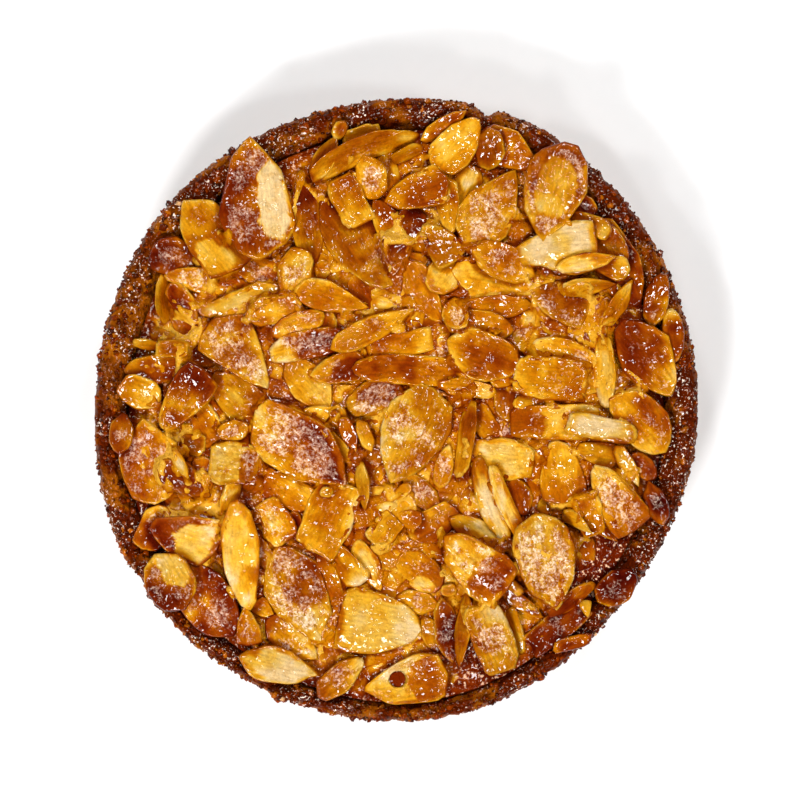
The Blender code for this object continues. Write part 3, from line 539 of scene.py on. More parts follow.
MIDDLE_SLICES = (
    # Upper left.
    (-35.4, 34.0, 18.5, 12.5, -48, STUB, 0, 0, "goldpale", 315),
    (-45.2, 21.4, 9.0, 4.5, 92, STRIP, -12, 45, "gold"),
    (-41.4, 20.8, 9.5, 4.6, -52, LEAF, 0, 0, "brown", 270),
    (-31.0, 20.9, 18.0, 6.0, 15, STUB, 38, 10, "bright", 135),
    (-19.5, 26.6, 9.8, 7.4, 72, OVAL, 0, 0, "whitefrost", 90),
    # Top.
    (-6.2, 49.6, 22.5, 6.5, 21, STRIP, -38, 40, "gold", 90),
    (-4.7, 45.0, 9.2, 6.8, 108, OVAL, 0, 0, "whitefrost"),
    (2.4, 49.8, 7.0, 3.2, 24, STRIP, 0, 35, "amber"),
    (9.6, 55.2, 10.5, 4.0, 32, LEAF, 8, 25, "brownamber"),
    (-8.8, 40.4, 10.0, 6.8, -62, BLOCK, 0, 0, "gold", 135),
    (13.6, 42.0, 12.5, 6.6, 72, OVAL, 0, 0, "pale"),
    (10.2, 39.6, 11.5, 5.4, 98, STUB, 0, 0, "gold"),
    (8.7, 32.2, 10.0, 6.8, -48, STUB, 0, 0, "goldburnt"),
    (18.6, 38.6, 18.0, 10.8, 58, LEAF, 0, 0, "frost"),
    (21.2, 28.6, 13.5, 7.2, -24, OVAL, 0, 0, "goldfrost"),
    # Upper right.
    (41.0, 31.6, 12.0, 7.6, -48, OVAL, 0, 0, "amber"),
    (41.8, 27.6, 7.6, 4.8, -12, STUB, 0, 0, "brownamber"),
    (37.4, 36.2, 9.5, 4.2, -24, STUB, 0, 0, "gold"),
    (38.0, 23.8, 10.5, 4.4, 4, LEAF, 0, 40, "gold"),
    (51.0, 21.0, 11.0, 4.8, 82, OVAL, 0, 0, "brownfrost"),
    # Left.
    (-30.2, 10.6, 18.5, 12.0, -52, WEDGE, 0, 0, "goldfrost", 180),
    (-49.8, 3.0, 9.0, 6.8, -20, OVAL, 0, 0, "gold", 180),
    (-41.2, 1.6, 14.5, 8.4, 54, STUB, 0, 0, "brownamber", 0),
    (-31.2, -10.8, 10.8, 8.4, -6, BLOCK, 0, 0, "palefrost"),
    (-41.0, -14.0, 12.0, 6.2, -34, LEAF, 0, 0, "brownamber", 180),
    (-48.6, 12.4, 5.5, 2.8, -8, STRIP, 0, 40, "gold"),
    # Middle.
    (-12.8, 21.6, 14.5, 6.4, -14, LEAF, 0, 0, "gold"),
    (-23.8, 19.0, 11.5, 6.0, 14, OVAL, 0, 0, "amber"),
    (-19.0, 16.2, 11.5, 4.8, 20, OVAL, -20, 0, "whitefrost", 45),
    (-17.0, 12.4, 15.0, 6.0, 13, STRIP, 0, 0, "brownfrost", 0),
    (-11.2, 7.6, 11.0, 6.6, 12, STUB, 0, 0, "amberbrown", 315),
    (1.2, 12.4, 13.5, 5.0, 12, BLOCK, 0, 0, "gold", 135),
    (-4.2, 2.0, 12.0, 8.4, 25, STUB, 0, 0, "crusted"),
    (3.0, 7.2, 23.0, 6.6, -4, OVAL, -14, 0, "brownamber"),
    (14.2, 3.8, 11.5, 3.8, -8, STRIP, 0, 20, "goldfrost"),
    (-10.6, -8.8, 9.5, 5.0, -38, WEDGE, 0, 0, "gold"),
    (-6.3, -15.4, 10.0, 3.8, -84, LEAF, 0, 40, "gold"),
    (13.8, -6.2, 15.5, 4.4, -100, STRIP, 0, 40, "goldamber"),
    (17.2, 10.4, 15.5, 10.0, -22, OVAL, 0, 0, "amber", 0),
    (20.8, -10.0, 11.8, 8.0, -8, BLOCK, 0, 0, "cream"),
    (30.4, 5.8, 14.5, 8.4, -8, BLOCK, 0, 0, "gold"),
    (48.2, -2.6, 15.0, 9.6, -52, OVAL, 0, 0, "goldamber", 90),
    (32.6, -12.6, 13.5, 9.0, -82, STUB, 0, 0, "yellow", 0),
    (45.4, -11.4, 9.5, 4.0, -60, LEAF, 0, 25, "gold"),
    (43.0, -17.6, 15.0, 8.8, -58, STUB, 0, 0, "goldfrost", 0),
    (37.8, -20.6, 8.5, 5.6, -72, BLOCK, 0, 0, "goldamber"),
    # Lower right.
    (31.8, -42.6, 15.0, 6.0, 38, STRIP, 0, 0, "brownfrost"),
    (34.4, -37.4, 10.5, 3.6, 34, STRIP, 0, 20, "burnt"),
    (34.6, -45.8, 8.0, 2.8, 16, STRIP, 0, 0, "brown"),
    (23.6, -43.6, 9.5, 3.2, -76, STRIP, 0, 20, "bright"),
    (13.2, -43.6, 15.5, 4.6, -96, LEAF, 0, 40, "brownamber", 0),
    (23.2, -34.8, 5.0, 2.4, -42, STRIP, 0, 0, "bright"),
    # Bottom.
    (16.6, -25.2, 14.0, 6.0, -34, OVAL, -12, 0, "yellow", 270),
    (5.0, -32.0, 11.0, 7.2, -38, OVAL, 0, 0, "goldpale", 45),
    (-2.0, -23.8, 7.2, 5.6, 50, BLOCK, 0, 0, "yellow"),
    (-5.4, -31.0, 11.0, 5.2, -60, LEAF, -14, 0, "pale", 90),
    (-9.4, -30.6, 9.4, 5.2, -58, STUB, 0, 0, "yellow", 225),
    (-13.0, -21.4, 15.5, 9.6, 68, BLOCK, 0, 0, "gold"),
    (2.2, -53.6, 15.6, 9.8, 12, STUB, 0, 0, "palefrost", 315),
    (10.6, -35.6, 3.4, 2.8, 0, OVAL, 0, 0, "gold"),
    # Lower left.
    (-47.0, -23.6, 9.5, 7.5, 60, OVAL, 0, 0, "brown", 225),
    (-37.0, -37.4, 18.0, 11.0, -52, OVAL, 0, 0, "burntfrost", 45),
    (-26.4, -28.0, 9.5, 4.2, -56, OVAL, 0, 0, "whitefrost"),
    (-23.6, -22.2, 9.5, 6.8, -55, BLOCK, 0, 0, "tan"),
    (-28.8, -42.4, 8.4, 5.4, 98, WEDGE, 0, 0, "frost", 135),
    (-20.2, -45.2, 13.0, 7.4, -38, LEAF, 0, 0, "tan", 225),
)
UPPER_SLICES = (
    # Top and upper right.
    (-27.2, 40.8, 24.0, 14.6, 95, LEAF, 0, 0, "halfpale", 90),
    (12.0, 51.2, 13.5, 8.6, 48, LEAF, 0, 0, "bright"),
    (4.2, 42.4, 13.5, 8.0, 18, STUB, 0, 0, "goldamber", 315),
    (0.0, 29.4, 7.8, 6.4, -100, WEDGE, 0, 0, "burntgold", 225),
    (31.8, 31.0, 16.5, 10.2, 6, STUB, 0, 0, "pale"),
    (37.2, 28.4, 11.5, 3.8, 10, LEAF, 0, 0, "palegold", 45),
    (30.9, 42.2, 19.6, 12.6, -102, LEAF, 0, 0, "ringed", 180),
    # Left and middle.
    (-43.5, 11.6, 6.5, 3.6, 0, BLOCK, 0, 0, "amberfrost"),
    (-41.8, -10.8, 7.2, 3.0, -60, LEAF, 0, 35, "cream"),
    (-4.4, 15.4, 18.0, 5.6, 26, LEAF, 0, 15, "goldfrost"),
    (11.9, 18.4, 6.8, 5.6, 95, OVAL, 0, 0, "frost"),
    (33.0, 10.6, 15.0, 5.0, -12, OVAL, -42, 10, "goldfrost"),
    (41.0, 7.2, 14.5, 4.6, -88, STRIP, 0, 30, "bright"),
    (49.4, 9.6, 17.0, 11.0, -58, LEAF, 0, 0, "brownamber", 225),
    (-18.6, -7.6, 23.5, 12.8, -40, LEAF, 0, 0, "crusted", 45),
    (3.4, -5.2, 20.6, 13.4, -114, LEAF, 0, 0, "goldfrost", 90),
    (31.4, -2.7, 17.0, 7.2, 3, BLOCK, 0, 0, "paletan", 180),
    (40.2, -4.0, 14.5, 5.0, -12, STRIP, 0, 0, "pale", 270),
    (18.6, -17.8, 17.5, 4.4, -72, STRIP, 22, 0, "pale", 180),
    (22.0, -18.8, 16.0, 3.4, -66, STRIP, 18, 0, "pale", 90),
    (35.8, -22.4, 7.4, 3.4, -38, WEDGE, 0, 25, "yellow"),
    # Bottom and lower left.
    (29.4, -29.8, 18.8, 12.6, -78, LEAF, 0, 0, "whitefrost"),
    (37.3, -39.2, 3.4, 2.6, -80, WEDGE, 0, 0, "gold"),
    (18.9, -44.8, 14.0, 8.2, -72, BLOCK, 0, 0, "frost", 315),
    (15.6, -30.4, 16.5, 10.6, -42, STUB, 0, 0, "frostbrown"),
    (-3.0, -42.2, 16.6, 13.2, 170, STUB, 0, 0, "cream", 0),
    (-18.8, -36.6, 20.0, 12.2, -64, LEAF, 0, 0, "frostdark", 135),
    (-10.6, -52.6, 12.0, 5.8, 40, LEAF, 0, 0, "frost", 135),
    (-41.0, -25.2, 14.5, 10.0, -14, STUB, 0, 0, "brownpale", 225),
    (-43.8, -33.8, 12.0, 10.4, -60, OVAL, 0, 0, "patched", 315),
    (-29.8, -28.2, 21.5, 7.6, -84, OVAL, 16, 0, "palegold", 135),
    (-22.6, -50.4, 15.0, 7.4, -14, LEAF, 0, 0, "pale", 135),
    (-13.4, -16.4, 2.8, 2.2, 0, OVAL, 0, 0, "yellow"),
)


def crust_top(x, y):
    """Height of the rim's top under a point, and -1 where there is no rim."""
    turn = np.arctan2(y, x)
    share = (rim_radius(turn) - np.hypot(x, y)) / band_width(turn)
    return np.where((share >= 0) & (share <= 1), rim_height(share), -1.0)


def caramel_top(x, y):
    """Height of the caramel: a low crown that falls with the square of the distance from the middle."""
    return CARAMEL_EDGE + CARAMEL_CROWN * (1 - (x * x + y * y) / RIM_RADIUS**2)


def half_width(outline, along):
    """Half the width of a slice of width 1, at -1 to 1 along its length: a product of two powers."""
    far, near = outline
    widest = (near - far) / (far + near)
    full = (1 - widest) ** far * (1 + widest) ** near
    inside = np.clip(along, -1, 1)
    return 0.5 * (1 - inside) ** far * (1 + inside) ** near / full


def direction(degrees):
    """The cosine and the sine of an angle in degrees."""
    return math.cos(math.radians(degrees)), math.sin(math.radians(degrees))


def bend_arc(length, bend):
    """The radius of the arc that a slice bends to, and how far its middle stands off the line between
    its ends."""
    radius = length / math.radians(bend)
    return radius, radius * (1 - math.cos(math.radians(bend) / 2))


def straightened(along, across, length, bend):
    """Carries a point of a bent slice back onto the straight one: the arc's angle times its radius is
    where it is along the slice, and its distance from the arc is where it is across."""
    if not bend:
        return along, across
    radius, sag = bend_arc(length, bend)
    to_middle = radius - (across + sag / 2)
    angle = np.arctan2(along * np.sign(radius), to_middle * np.sign(radius))
    return angle * radius, radius - np.sign(radius) * np.hypot(along, to_middle)


def spread(grid, reach, pick):
    """The lowest (np.minimum) or highest (np.maximum) value within reach cells along X and Y."""
    for axis in (0, 1):
        grid = pick.reduce([np.roll(grid, shift, axis) for shift in range(-reach, reach + 1)])
    return grid


def under_slice(x, y, piece):
    """The grid cells under a slice: their rows and columns, and where they are along and across it."""
    centre_x, centre_y, length, width, turn, outline, bend, lean = piece[:8]
    cosine, sine = direction(turn)
    off_x, off_y = x - centre_x * MM, y - centre_y * MM
    near = (abs(off_x) < length * MM) & (abs(off_y) < length * MM)
    plan_along = off_x[near] * cosine + off_y[near] * sine
    plan_across = off_y[near] * cosine - off_x[near] * sine
    along, across = straightened(plan_along, plan_across, length * MM, bend)
    across = across / math.cos(math.radians(lean))
    under = abs(across) <= width * MM * half_width(outline, 2 * along / (length * MM))
    under &= abs(along) <= length * MM / 2
    rows, columns = (index[under] for index in np.nonzero(near))
    return rows, columns, plan_along[under], plan_across[under]


def settled(slices):
    """Lays the slices down one by one, each on the plane that fits the pile under it best.

    Returns the grid, the height of the finished pile on it, and for each slice its plane: height in
    the middle, and rise along and across its length.
    """
    axis = np.arange(-GRID_REACH, GRID_REACH + CELL / 2, CELL)
    x, y = np.meshgrid(axis, axis)
    crust = spread(crust_top(x, y), 1, np.maximum)
    pile = np.maximum(caramel_top(x, y), crust)
    planes = []
    for piece in slices:
        rows, columns, along, across = under_slice(x, y, piece)
        lean = piece[7]
        below = pile[rows, columns]
        fit = np.linalg.lstsq(np.stack([along, across, np.ones(len(along))], 1), below, rcond=None)[0]
        rise_along, rise_across = np.clip(fit[:2], -STEEPEST_LIE, STEEPEST_LIE)
        if lean:
            rise_across = math.tan(math.radians(lean))
        lift = rise_along * along + rise_across * across
        thickness = SLICE_THICKNESS / math.cos(math.radians(lean))
        height = np.quantile(below - lift, RESTING_SHARE) - SLICE_SINK
        if not lean:
            height = max(height, (below - lift).max() - DEEPEST_SINK * thickness)
        height = max(height, (crust[rows, columns] - lift).max() + CRUST_CLEARANCE)
        pile[rows, columns] = np.maximum(below, height + lift + thickness)
        planes.append((height, rise_along, rise_across))
    return axis, pile, planes


slices = LOWER_SLICES + MIDDLE_SLICES + UPPER_SLICES
axis, pile, planes = settled(slices)

# ----------------------------------------------------------------------------------------------
# The caramel. Butter, sugar and honey boiled until dark, poured into the case. It sets as a glossy
# brown glass that climbs a little way up the slices and fills the hollows between them.
GAP = 0.0003
CARAMEL_TURNS, CARAMEL_RINGS = 560, 172
CARAMEL_FILM = 0.0002
# The core follows the pile's hollows. Fillets climb closer to the slices' edges, and under a slice the
# caramel stays well below its top.
HOLLOW_REACH, CORE_SMOOTHING, CORE_BELOW_PILE = 0.0015, 0.0022, 0.0006
FILLET_SMOOTHING, FILLET_BELOW_PILE = 0.0010, 0.0001
BELOW_SLICE_TOP = 0.0008
# It thins out to a film over this much of the way in from the rim, and its edge is rounded off by this
# much inwards and down.
SEAM, EDGE_ROUNDING = (-0.0002, 0.0028), (0.0004, 0.0012)
# In places the syrup also ran over a slice's edge onto the next one and blurs it: where steps in the
# pile are this high, within this distance from the middle.
RUN_OVER = ((1.0, 0.0046, 501), (0.6, 0.0017, 503), (0.35, 0.0009, 505))
RUN_OVER_STEPS, STEP_SMOOTHING, RUN_OVER_REACH = (0.00045, 0.0009), 0.0007, 0.050
DRAPE_SMOOTHING, BELOW_BOX_TOP = 0.0005, 0.0006
# Soft borders in the caramel: of the places that slices cover, of a bit and of the painted shade under the
# hole.
SOFT_BORDER = 0.0006
# Broken bits and bubbles in the caramel: the size of the bits, how far each is tilted and offset, how
# soft its border is, and the heights and sizes of the lumps.
BIT_SIZE, BIT_TILT, BIT_STEP, BIT_BORDER, BIT_SEED = 0.0046, 0.22, 0.0007, 0.0005, 301
BUBBLE_SIZE, BUBBLE_HEIGHT, BURNT_BUBBLE_HEIGHT = 0.0016, 0.00025, 0.00095
FINE_BUBBLE_SIZE, FINE_BUBBLE_HEIGHT = 0.0009, 0.00040
# Layers of syrup: at least, by a bit's own draw, at its border, in hollows and beside standing edges, where
# more syrup and painted shade darken it, where it is burnt, and under the hole, where the dark is painted
# shade. There are fewer of them beyond the middle, and they gather in pools.
LEAST_LAYERS, BIT_LAYERS, BORDER_LAYERS, HOLLOW_SYRUP_AND_SHADE_LAYERS, CORNER_SYRUP_AND_SHADE_LAYERS = 0.5, 4.6, 2.2, 2.0, 2.3
BURNT_LAYERS, HOLE_SHADE_LAYERS, FEWER_LAYERS = 8.0, 7.0, 1.6
CARAMEL_POOLS = ((3.0, 0.0030, 71), (2.0, 0.0012, 73))
# Where a hollow and a corner begin and are deepest, and the radii between which the layers get fewer.
HOLLOW_DEPTHS, CORNER_DEPTHS, FEWER_RADII = (0.0006, 0.0026), (0.0003, 0.0013), (0.030, 0.042)
# Burnt stretches by the rim at the lower right: the angle and its reach, in radians, and how burnt. They
# begin between two radii. A narrow seam all along the rim is burnt too.
BURNT_STRETCHES, BURNT_RADII = ((-0.64, 0.26, 1.0), (-1.28, 0.12, 0.8)), (0.0455, 0.0490)
BURNT_SEAM, BURNT_SEAM_WIDTH, BURNT_SEAM_FADE = 0.6, 0.0030, 0.0020
# One slice has a round hole. The caramel seen through it is painted dark as shade, out to this far from its
# middle.
UNDER_HOLE, UNDER_HOLE_REACH = (0.0005, -0.0530), 0.0022
# Syrup over almond: the nut's own colour, and what one layer of syrup lets through of red, green, blue.
ALMOND = "#EACBA6"
SYRUP_TINT = np.array((0.79, 0.61, 0.12))
# Caramel is a little redder than the syrup's tint gives, and never quite black.
CARAMEL_WARMTH = np.array((1.03, 0.94, 0.66))
CARAMEL_GLOW = 0.05 * linear("#6A2A00")
# Pale froth specks on the caramel, partly froth and partly painted glints.
CARAMEL_FROTH_GLINT = "#F2C09A"
CARAMEL_FROTH_PATCHES = (0.003, 79)
FROTH_BUBBLE = 0.0007


def plan_points(x, y):
    """Points on the ground under a grid, row by row."""
    return np.stack([x, y, 0 * x], -1).reshape(-1, 3)


def smoothed(grid, distance):
    """The grid blurred by a bell curve of this standard distance."""
    reach = int(3 * distance / CELL)
    steps = np.arange(-reach, reach + 1)
    weights = np.exp(-0.5 * (steps * CELL / distance) ** 2)
    weights /= weights.sum()
    for axis in (0, 1):
        grid = sum(share * np.roll(grid, step, axis) for share, step in zip(weights, steps))
    return grid


lowest_near, highest_near = spread(pile, 1, np.minimum), spread(pile, 1, np.maximum)
caramel_grid = smoothed(spread(pile, int(HOLLOW_REACH / CELL), np.minimum), CORE_SMOOTHING) - CORE_BELOW_PILE
caramel_grid = np.maximum(caramel_grid, smoothed(lowest_near, FILLET_SMOOTHING) - FILLET_BELOW_PILE)
x, y = np.meshgrid(axis, axis)
covered = pile > caramel_top(x, y) + CARAMEL_FILM
caramel_grid = np.where(covered, np.minimum(caramel_grid, lowest_near - BELOW_SLICE_TOP), caramel_grid)
run_over = ramp(mottle(plan_points(x, y), RUN_OVER), 0.045, 0.185).reshape(x.shape)
run_over *= np.hypot(x, y) < RUN_OVER_REACH
run_over *= ramp(smoothed(highest_near - lowest_near, STEP_SMOOTHING), *RUN_OVER_STEPS)
draped = np.minimum(smoothed(pile, DRAPE_SMOOTHING) + CARAMEL_FILM, cad_high[2] - BELOW_BOX_TOP)
caramel_grid += (draped - caramel_grid) * run_over
# How high the pile stands close to each place, which tells the corners beside standing edges, where shade is
# painted into the caramel and into the slices beneath.
shading_pile = smoothed(highest_near, DRAPE_SMOOTHING)


def under_syrup(layers):
    """The almond's colour seen through this many layers of syrup: its colour times the tint to that power."""
    return linear(ALMOND) * SYRUP_TINT ** layers[:, None]


def on_grid(grid, x, y):
    """The grid's value at points between its cells, by straight blending of the four nearest."""
    column, row = (x - axis[0]) / CELL, (y - axis[0]) / CELL
    left = np.clip(np.floor(column).astype(int), 0, len(axis) - 2)
    low = np.clip(np.floor(row).astype(int), 0, len(axis) - 2)
    right_share, up_share = column - left, row - low
    bottom = grid[low, left] * (1 - right_share) + grid[low, left + 1] * right_share
    top = grid[low + 1, left] * (1 - right_share) + grid[low + 1, left + 1] * right_share
    return bottom * (1 - up_share) + top * up_share


def inside_rim(x, y):
    """How far a point is inside the rim's inner edge."""
    return inner_radius(np.arctan2(y, x)) - np.hypot(x, y)


def caramel_height(x, y):
    """Height of the set caramel: the pile's hollows smoothed over, lowered to a film near the rim."""
    level = CARAMEL_EDGE + CARAMEL_FILM
    height = np.maximum(on_grid(caramel_grid, x, y), caramel_top(x, y))
    return level + (height - level) * ramp(inside_rim(x, y), *SEAM)


def shards(x, y, size, seed):
    """Broken bits seen from above, one round each jittered point of a square lattice. For each place:
    the nearest bit's draw, its distance to the border with the next bit, and the offsets from its
    middle."""
    x, y = x / size + 0.8 * cloud(plan_points(x, y), 0.6 * size, seed + 5), y / size
    nearest, second = np.full(len(x), 9.0), np.full(len(x), 9.0)
    bit, off_x, off_y = np.zeros((3, len(x)))
    for place in range(9):
        cell = np.stack([np.floor(x) + place % 3 - 1, np.floor(y) + place // 3 - 1, 0 * x], 1)
        away_x, away_y = x - cell[:, 0] - cell_draw(cell, seed), y - cell[:, 1] - cell_draw(cell, seed + 1)
        away = np.hypot(away_x, away_y)
        closer = away < nearest
        second = np.where(closer, nearest, np.minimum(second, away))
        nearest = np.where(closer, away, nearest)
        bit = np.where(closer, cell_draw(cell, seed + 2), bit)
        off_x, off_y = np.where(closer, away_x, off_x), np.where(closer, away_y, off_y)
    return bit, (second - nearest) * size, off_x * size, off_y * size


def burnt_share(x, y):
    """1 where the caramel is burnt and coarse: in the stretches at the lower right, each a bell curve
    round its angle, and a little in the narrow seam beside the rim."""
    turn = np.arctan2(y, x)
    stretch = sum(share * bell(turn - angle, reach) for angle, reach, share in BURNT_STRETCHES)
    stretch = np.minimum(stretch, 1) * ramp(np.hypot(x, y), *BURNT_RADII)
    seam = ramp(BURNT_SEAM_WIDTH - inside_rim(x, y), 0.0, BURNT_SEAM_FADE)
    return np.maximum(stretch, BURNT_SEAM * seam)


def caramel_surface():
    """A closed turned form: the top follows caramel_height() with lumps of trapped bubbles, and the
    side and the bottom keep the gap to the case."""
    turn = full_turn(CARAMEL_TURNS)
    wall = inner_radius(turn) - GAP
    foot = wall - INNER_DRAFT - FOOT_ROUNDING
    flat = np.ones_like(turn)
    inwards, down = EDGE_ROUNDING
    rings = [(foot, (FLOOR_THICKNESS + GAP) * flat), (wall - inwards, (CARAMEL_EDGE - down) * flat)]
    for share in np.linspace(1, 0, CARAMEL_RINGS + 1)[:-1]:
        x, y = share * wall * np.cos(turn), share * wall * np.sin(turn)
        rings.append((share * wall, caramel_height(x, y)))
    radius, height = (np.stack(column) for column in zip(*rings))
    points = turned(radius, turn, height)
    x, y = points[:, 0], points[:, 1]
    burnt = burnt_share(x, y)
    blister = lumps(points, BUBBLE_SIZE, 61) * (BUBBLE_HEIGHT + BURNT_BUBBLE_HEIGHT * burnt)
    blister += cloud(points, FINE_BUBBLE_SIZE, 67) * FINE_BUBBLE_HEIGHT
    bit, border, off_x, off_y = shards(x, y, BIT_SIZE, BIT_SEED)
    # The bit's draw, times many radians, also tells which way it tilts.
    way = 40 * bit
    tilt = BIT_TILT * (off_x * np.cos(way) + off_y * np.sin(way)) + BIT_STEP * (bit - 0.5)
    bare = 1 - on_grid(smoothed(covered * 1.0, SOFT_BORDER), x, y)
    blister += tilt * ramp(border, 0.0, BIT_BORDER) * bare * (1 - burnt)
    points[2 * CARAMEL_TURNS:, 2] += blister[2 * CARAMEL_TURNS:]
    poles = np.array([(0, 0, FLOOR_THICKNESS + GAP), (0, 0, caramel_height(np.zeros(1), np.zeros(1))[0])])
    return np.concatenate([points, poles]), len(rings)


def caramel_colours(points):
    """Each bit has its own number of layers, with more at its border, more in hollows and beside standing
    edges as syrup and painted shade, more under the hole as painted shade, and fewer out towards the rim. The
    burnt stretches are nearly black. The froth's pale specks are partly painted glints. Returns the tone and
    how frothy it is."""
    x, y, z = points.T
    # Syrup and painted shade: darker in hollows between the slices and in corners beside their standing
    # edges.
    deep = ramp(on_grid(smoothed(pile, HOLLOW_REACH), x, y) - z, *HOLLOW_DEPTHS)
    corner = ramp(on_grid(shading_pile, x, y) - z, *CORNER_DEPTHS)
    bit, border, _, _ = shards(x, y, BIT_SIZE, BIT_SEED)
    layers = LEAST_LAYERS + BIT_LAYERS * bit + BORDER_LAYERS * (1 - ramp(border, 0.0, SOFT_BORDER))
    layers = layers + HOLLOW_SYRUP_AND_SHADE_LAYERS * deep + CORNER_SYRUP_AND_SHADE_LAYERS * corner + mottle(points, CARAMEL_POOLS)
    layers -= FEWER_LAYERS * ramp(np.hypot(x, y), *FEWER_RADII)
    burnt = burnt_share(x, y)
    from_hole = np.hypot(x - UNDER_HOLE[0], y - UNDER_HOLE[1])
    layers = np.maximum(layers, 1.0) + BURNT_LAYERS * burnt
    # Painted shade: the caramel seen through the hole is darkened.
    layers += HOLE_SHADE_LAYERS * ramp(UNDER_HOLE_REACH - from_hole, 0.0, SOFT_BORDER)
    # Froth, with pale specks that are partly painted glints, in patches and all over the burnt stretches.
    frothy = np.maximum(ramp(cloud(points, *CARAMEL_FROTH_PATCHES), 0.50, 0.80), burnt)
    return under_syrup(layers) * CARAMEL_WARMTH + CARAMEL_GLOW, frothy


# Dark caramel, poured and set hard: clear brown glass with fine bubbles, so it looks wet and deep.
caramel_material, tree = new_material("poured_dark_caramel")
place = node(tree, "TexCoord", {}).outputs["Object"]
tone = node(tree, "Attribute", {}, attribute_name="tone")
froth = node(tree, "Attribute", {}, attribute_name="froth").outputs["Fac"]
# Bubbles about 0.4 mm across. The pale froth specks on them are partly painted glints.
bubbles = node(tree, "TexNoise", {"Vector": place, "Scale": 1 / FROTH_BUBBLE, "Detail": 2.0})
speck = node(tree, "MapRange", {"Value": bubbles, "From Min": 0.59, "From Max": 0.66})
froth_and_glint_share = node(tree, "Math", {0: speck, 1: froth}, operation="MULTIPLY")
colour = node(tree, "MixRGB", {"Fac": froth_and_glint_share, "Color1": tone, "Color2": rgba(CARAMEL_FROTH_GLINT)})
bump = node(tree, "Bump", {"Height": bubbles, "Strength": 1.0, "Distance": 0.0007})
shader = node(tree, "BsdfPrincipled", {
    "Base Color": colour, "Roughness": 0.5, "IOR": 1.49, "Specular IOR Level": 0.0, "Normal": bump,
    "Coat Weight": 0.36, "Coat Roughness": 0.03})
node(tree, "OutputMaterial", {"Surface": shader})

points, rings = caramel_surface()
tone, froth = caramel_colours(points)
quads, fans = lathe_faces(rings, CARAMEL_TURNS)
caramel = new_piece("set_caramel", points, quads, fans, caramel_material, tone=tone, froth=froth)
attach(caramel, "root")
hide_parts("almond_filling")

# ----------------------------------------------------------------------------------------------
# The almond slices. Whole kernels cut 1.3 mm thick, some broken, baked in the caramel: the bare cut
# faces stay cream, and those the syrup reached are gold, amber or burnt, with blistered sugar on top.
# The distance between rings of points, and how many points the edge has for each such distance of the
# length and the width together. The innermost ring is this share of the outline.
POINT_SPACING, EDGE_DENSITY, INNERMOST_RING = 0.00042, 2.3, 0.03
SHAPE_SEED, COLOUR_SEED = 1000, 5000
# Nicks in the outline: counts of waves round it, and their height as a share of it. Straight breaks run
# between corners that drift by a share of the step from one to the next.
NICKS = ((range(2, 7), 0.026), (range(7, 20), 0.004))
CORNER_DRIFT = 0.38
BROKEN_SHARE = 0.75
# From the top over the shoulder to the underside: shares of the shoulder's width and of the thickness.
# Beyond the first few of these rings a point counts as the edge.
SHOULDER = 0.00036
SHOULDER_RINGS = ((0.36, 0.965), (0.66, 0.86), (0.89, 0.70), (1.0, 0.48), (0.99, 0.12), (0.90, 0.0))
EDGE_FROM_RING = 4
# The cut face: dished or domed, twisted, wavy, and blistered where there is sugar.
DISH, TWIST = (-0.00030, 0.00022), 0.00010
FACE_WAVES = ((0.00060, 0.0032, 101),)
SUGAR_BLISTERS = ((0.00045, 0.0011, 103), (0.00025, 0.000605, 105))
# Mottles of the syrup and of the sugar, and the ragged borders between them.
RAGGED = ((1.0, 0.0022, 201), (0.5, 0.0009, 202))
SYRUP_POOLS = ((2.8, 0.0045, 203), (2.0, 0.0018, 205))
FROTH_PATCHES = ((1.45, 0.0040, 207), (1.6, 0.0015, 209))
# Patches of the dark line and of the painted highlight along the edge.
LINE_PATCHES, HIGHLIGHT_PATCHES = (0.0040, 211), (0.0046, 213)
# How many more layers of syrup a slice has towards its darker side, where that is drawn and where it is
# chosen, in the corner beneath another slice, and in the dark line along its edge. The darker side and the
# corner stand for thicker syrup and painted shade.
DRAWN_SIDE, CHOSEN_SIDE, CORNER_SYRUP_AND_SHADE, LINE_SYRUP = 0.7, 1.5, 2.2, 2.4
# How far below the nearby pile the painted shade in that corner begins and is deepest.
BENEATH_SLICE_SHADE = (0.0004, 0.0014)
TONE_SPREAD = (0.88, 1.14)
# Pale froth specks on the slices, partly sugar and partly painted glints.
ALMOND_FROTH_GLINT = "#F5D6BE"
# Sizes of the clouds in the material: blisters, grains of sugar and of the nut, and waves of the glaze.
BLISTER_GRAIN, SUGAR_GRAIN, NUT_GRAIN, GLAZE_WAVE = 0.0012, 0.0005, 0.0005, 0.0013
# Margins along the edge: the width, how far the border wanders, and how soft it is.
EDGE_MARGIN = (0.0010, 0.0012, 0.0004)
DARK_LINE = (0.00030, 0.0003, 0.0002)
# The band along the edge where a highlight is painted.
PAINTED_HIGHLIGHT_EDGE = (0.00042, 0.0, 0.00016)
FROTH_FREE_MARGIN = (0.0014, 0.0016, 0.0006)
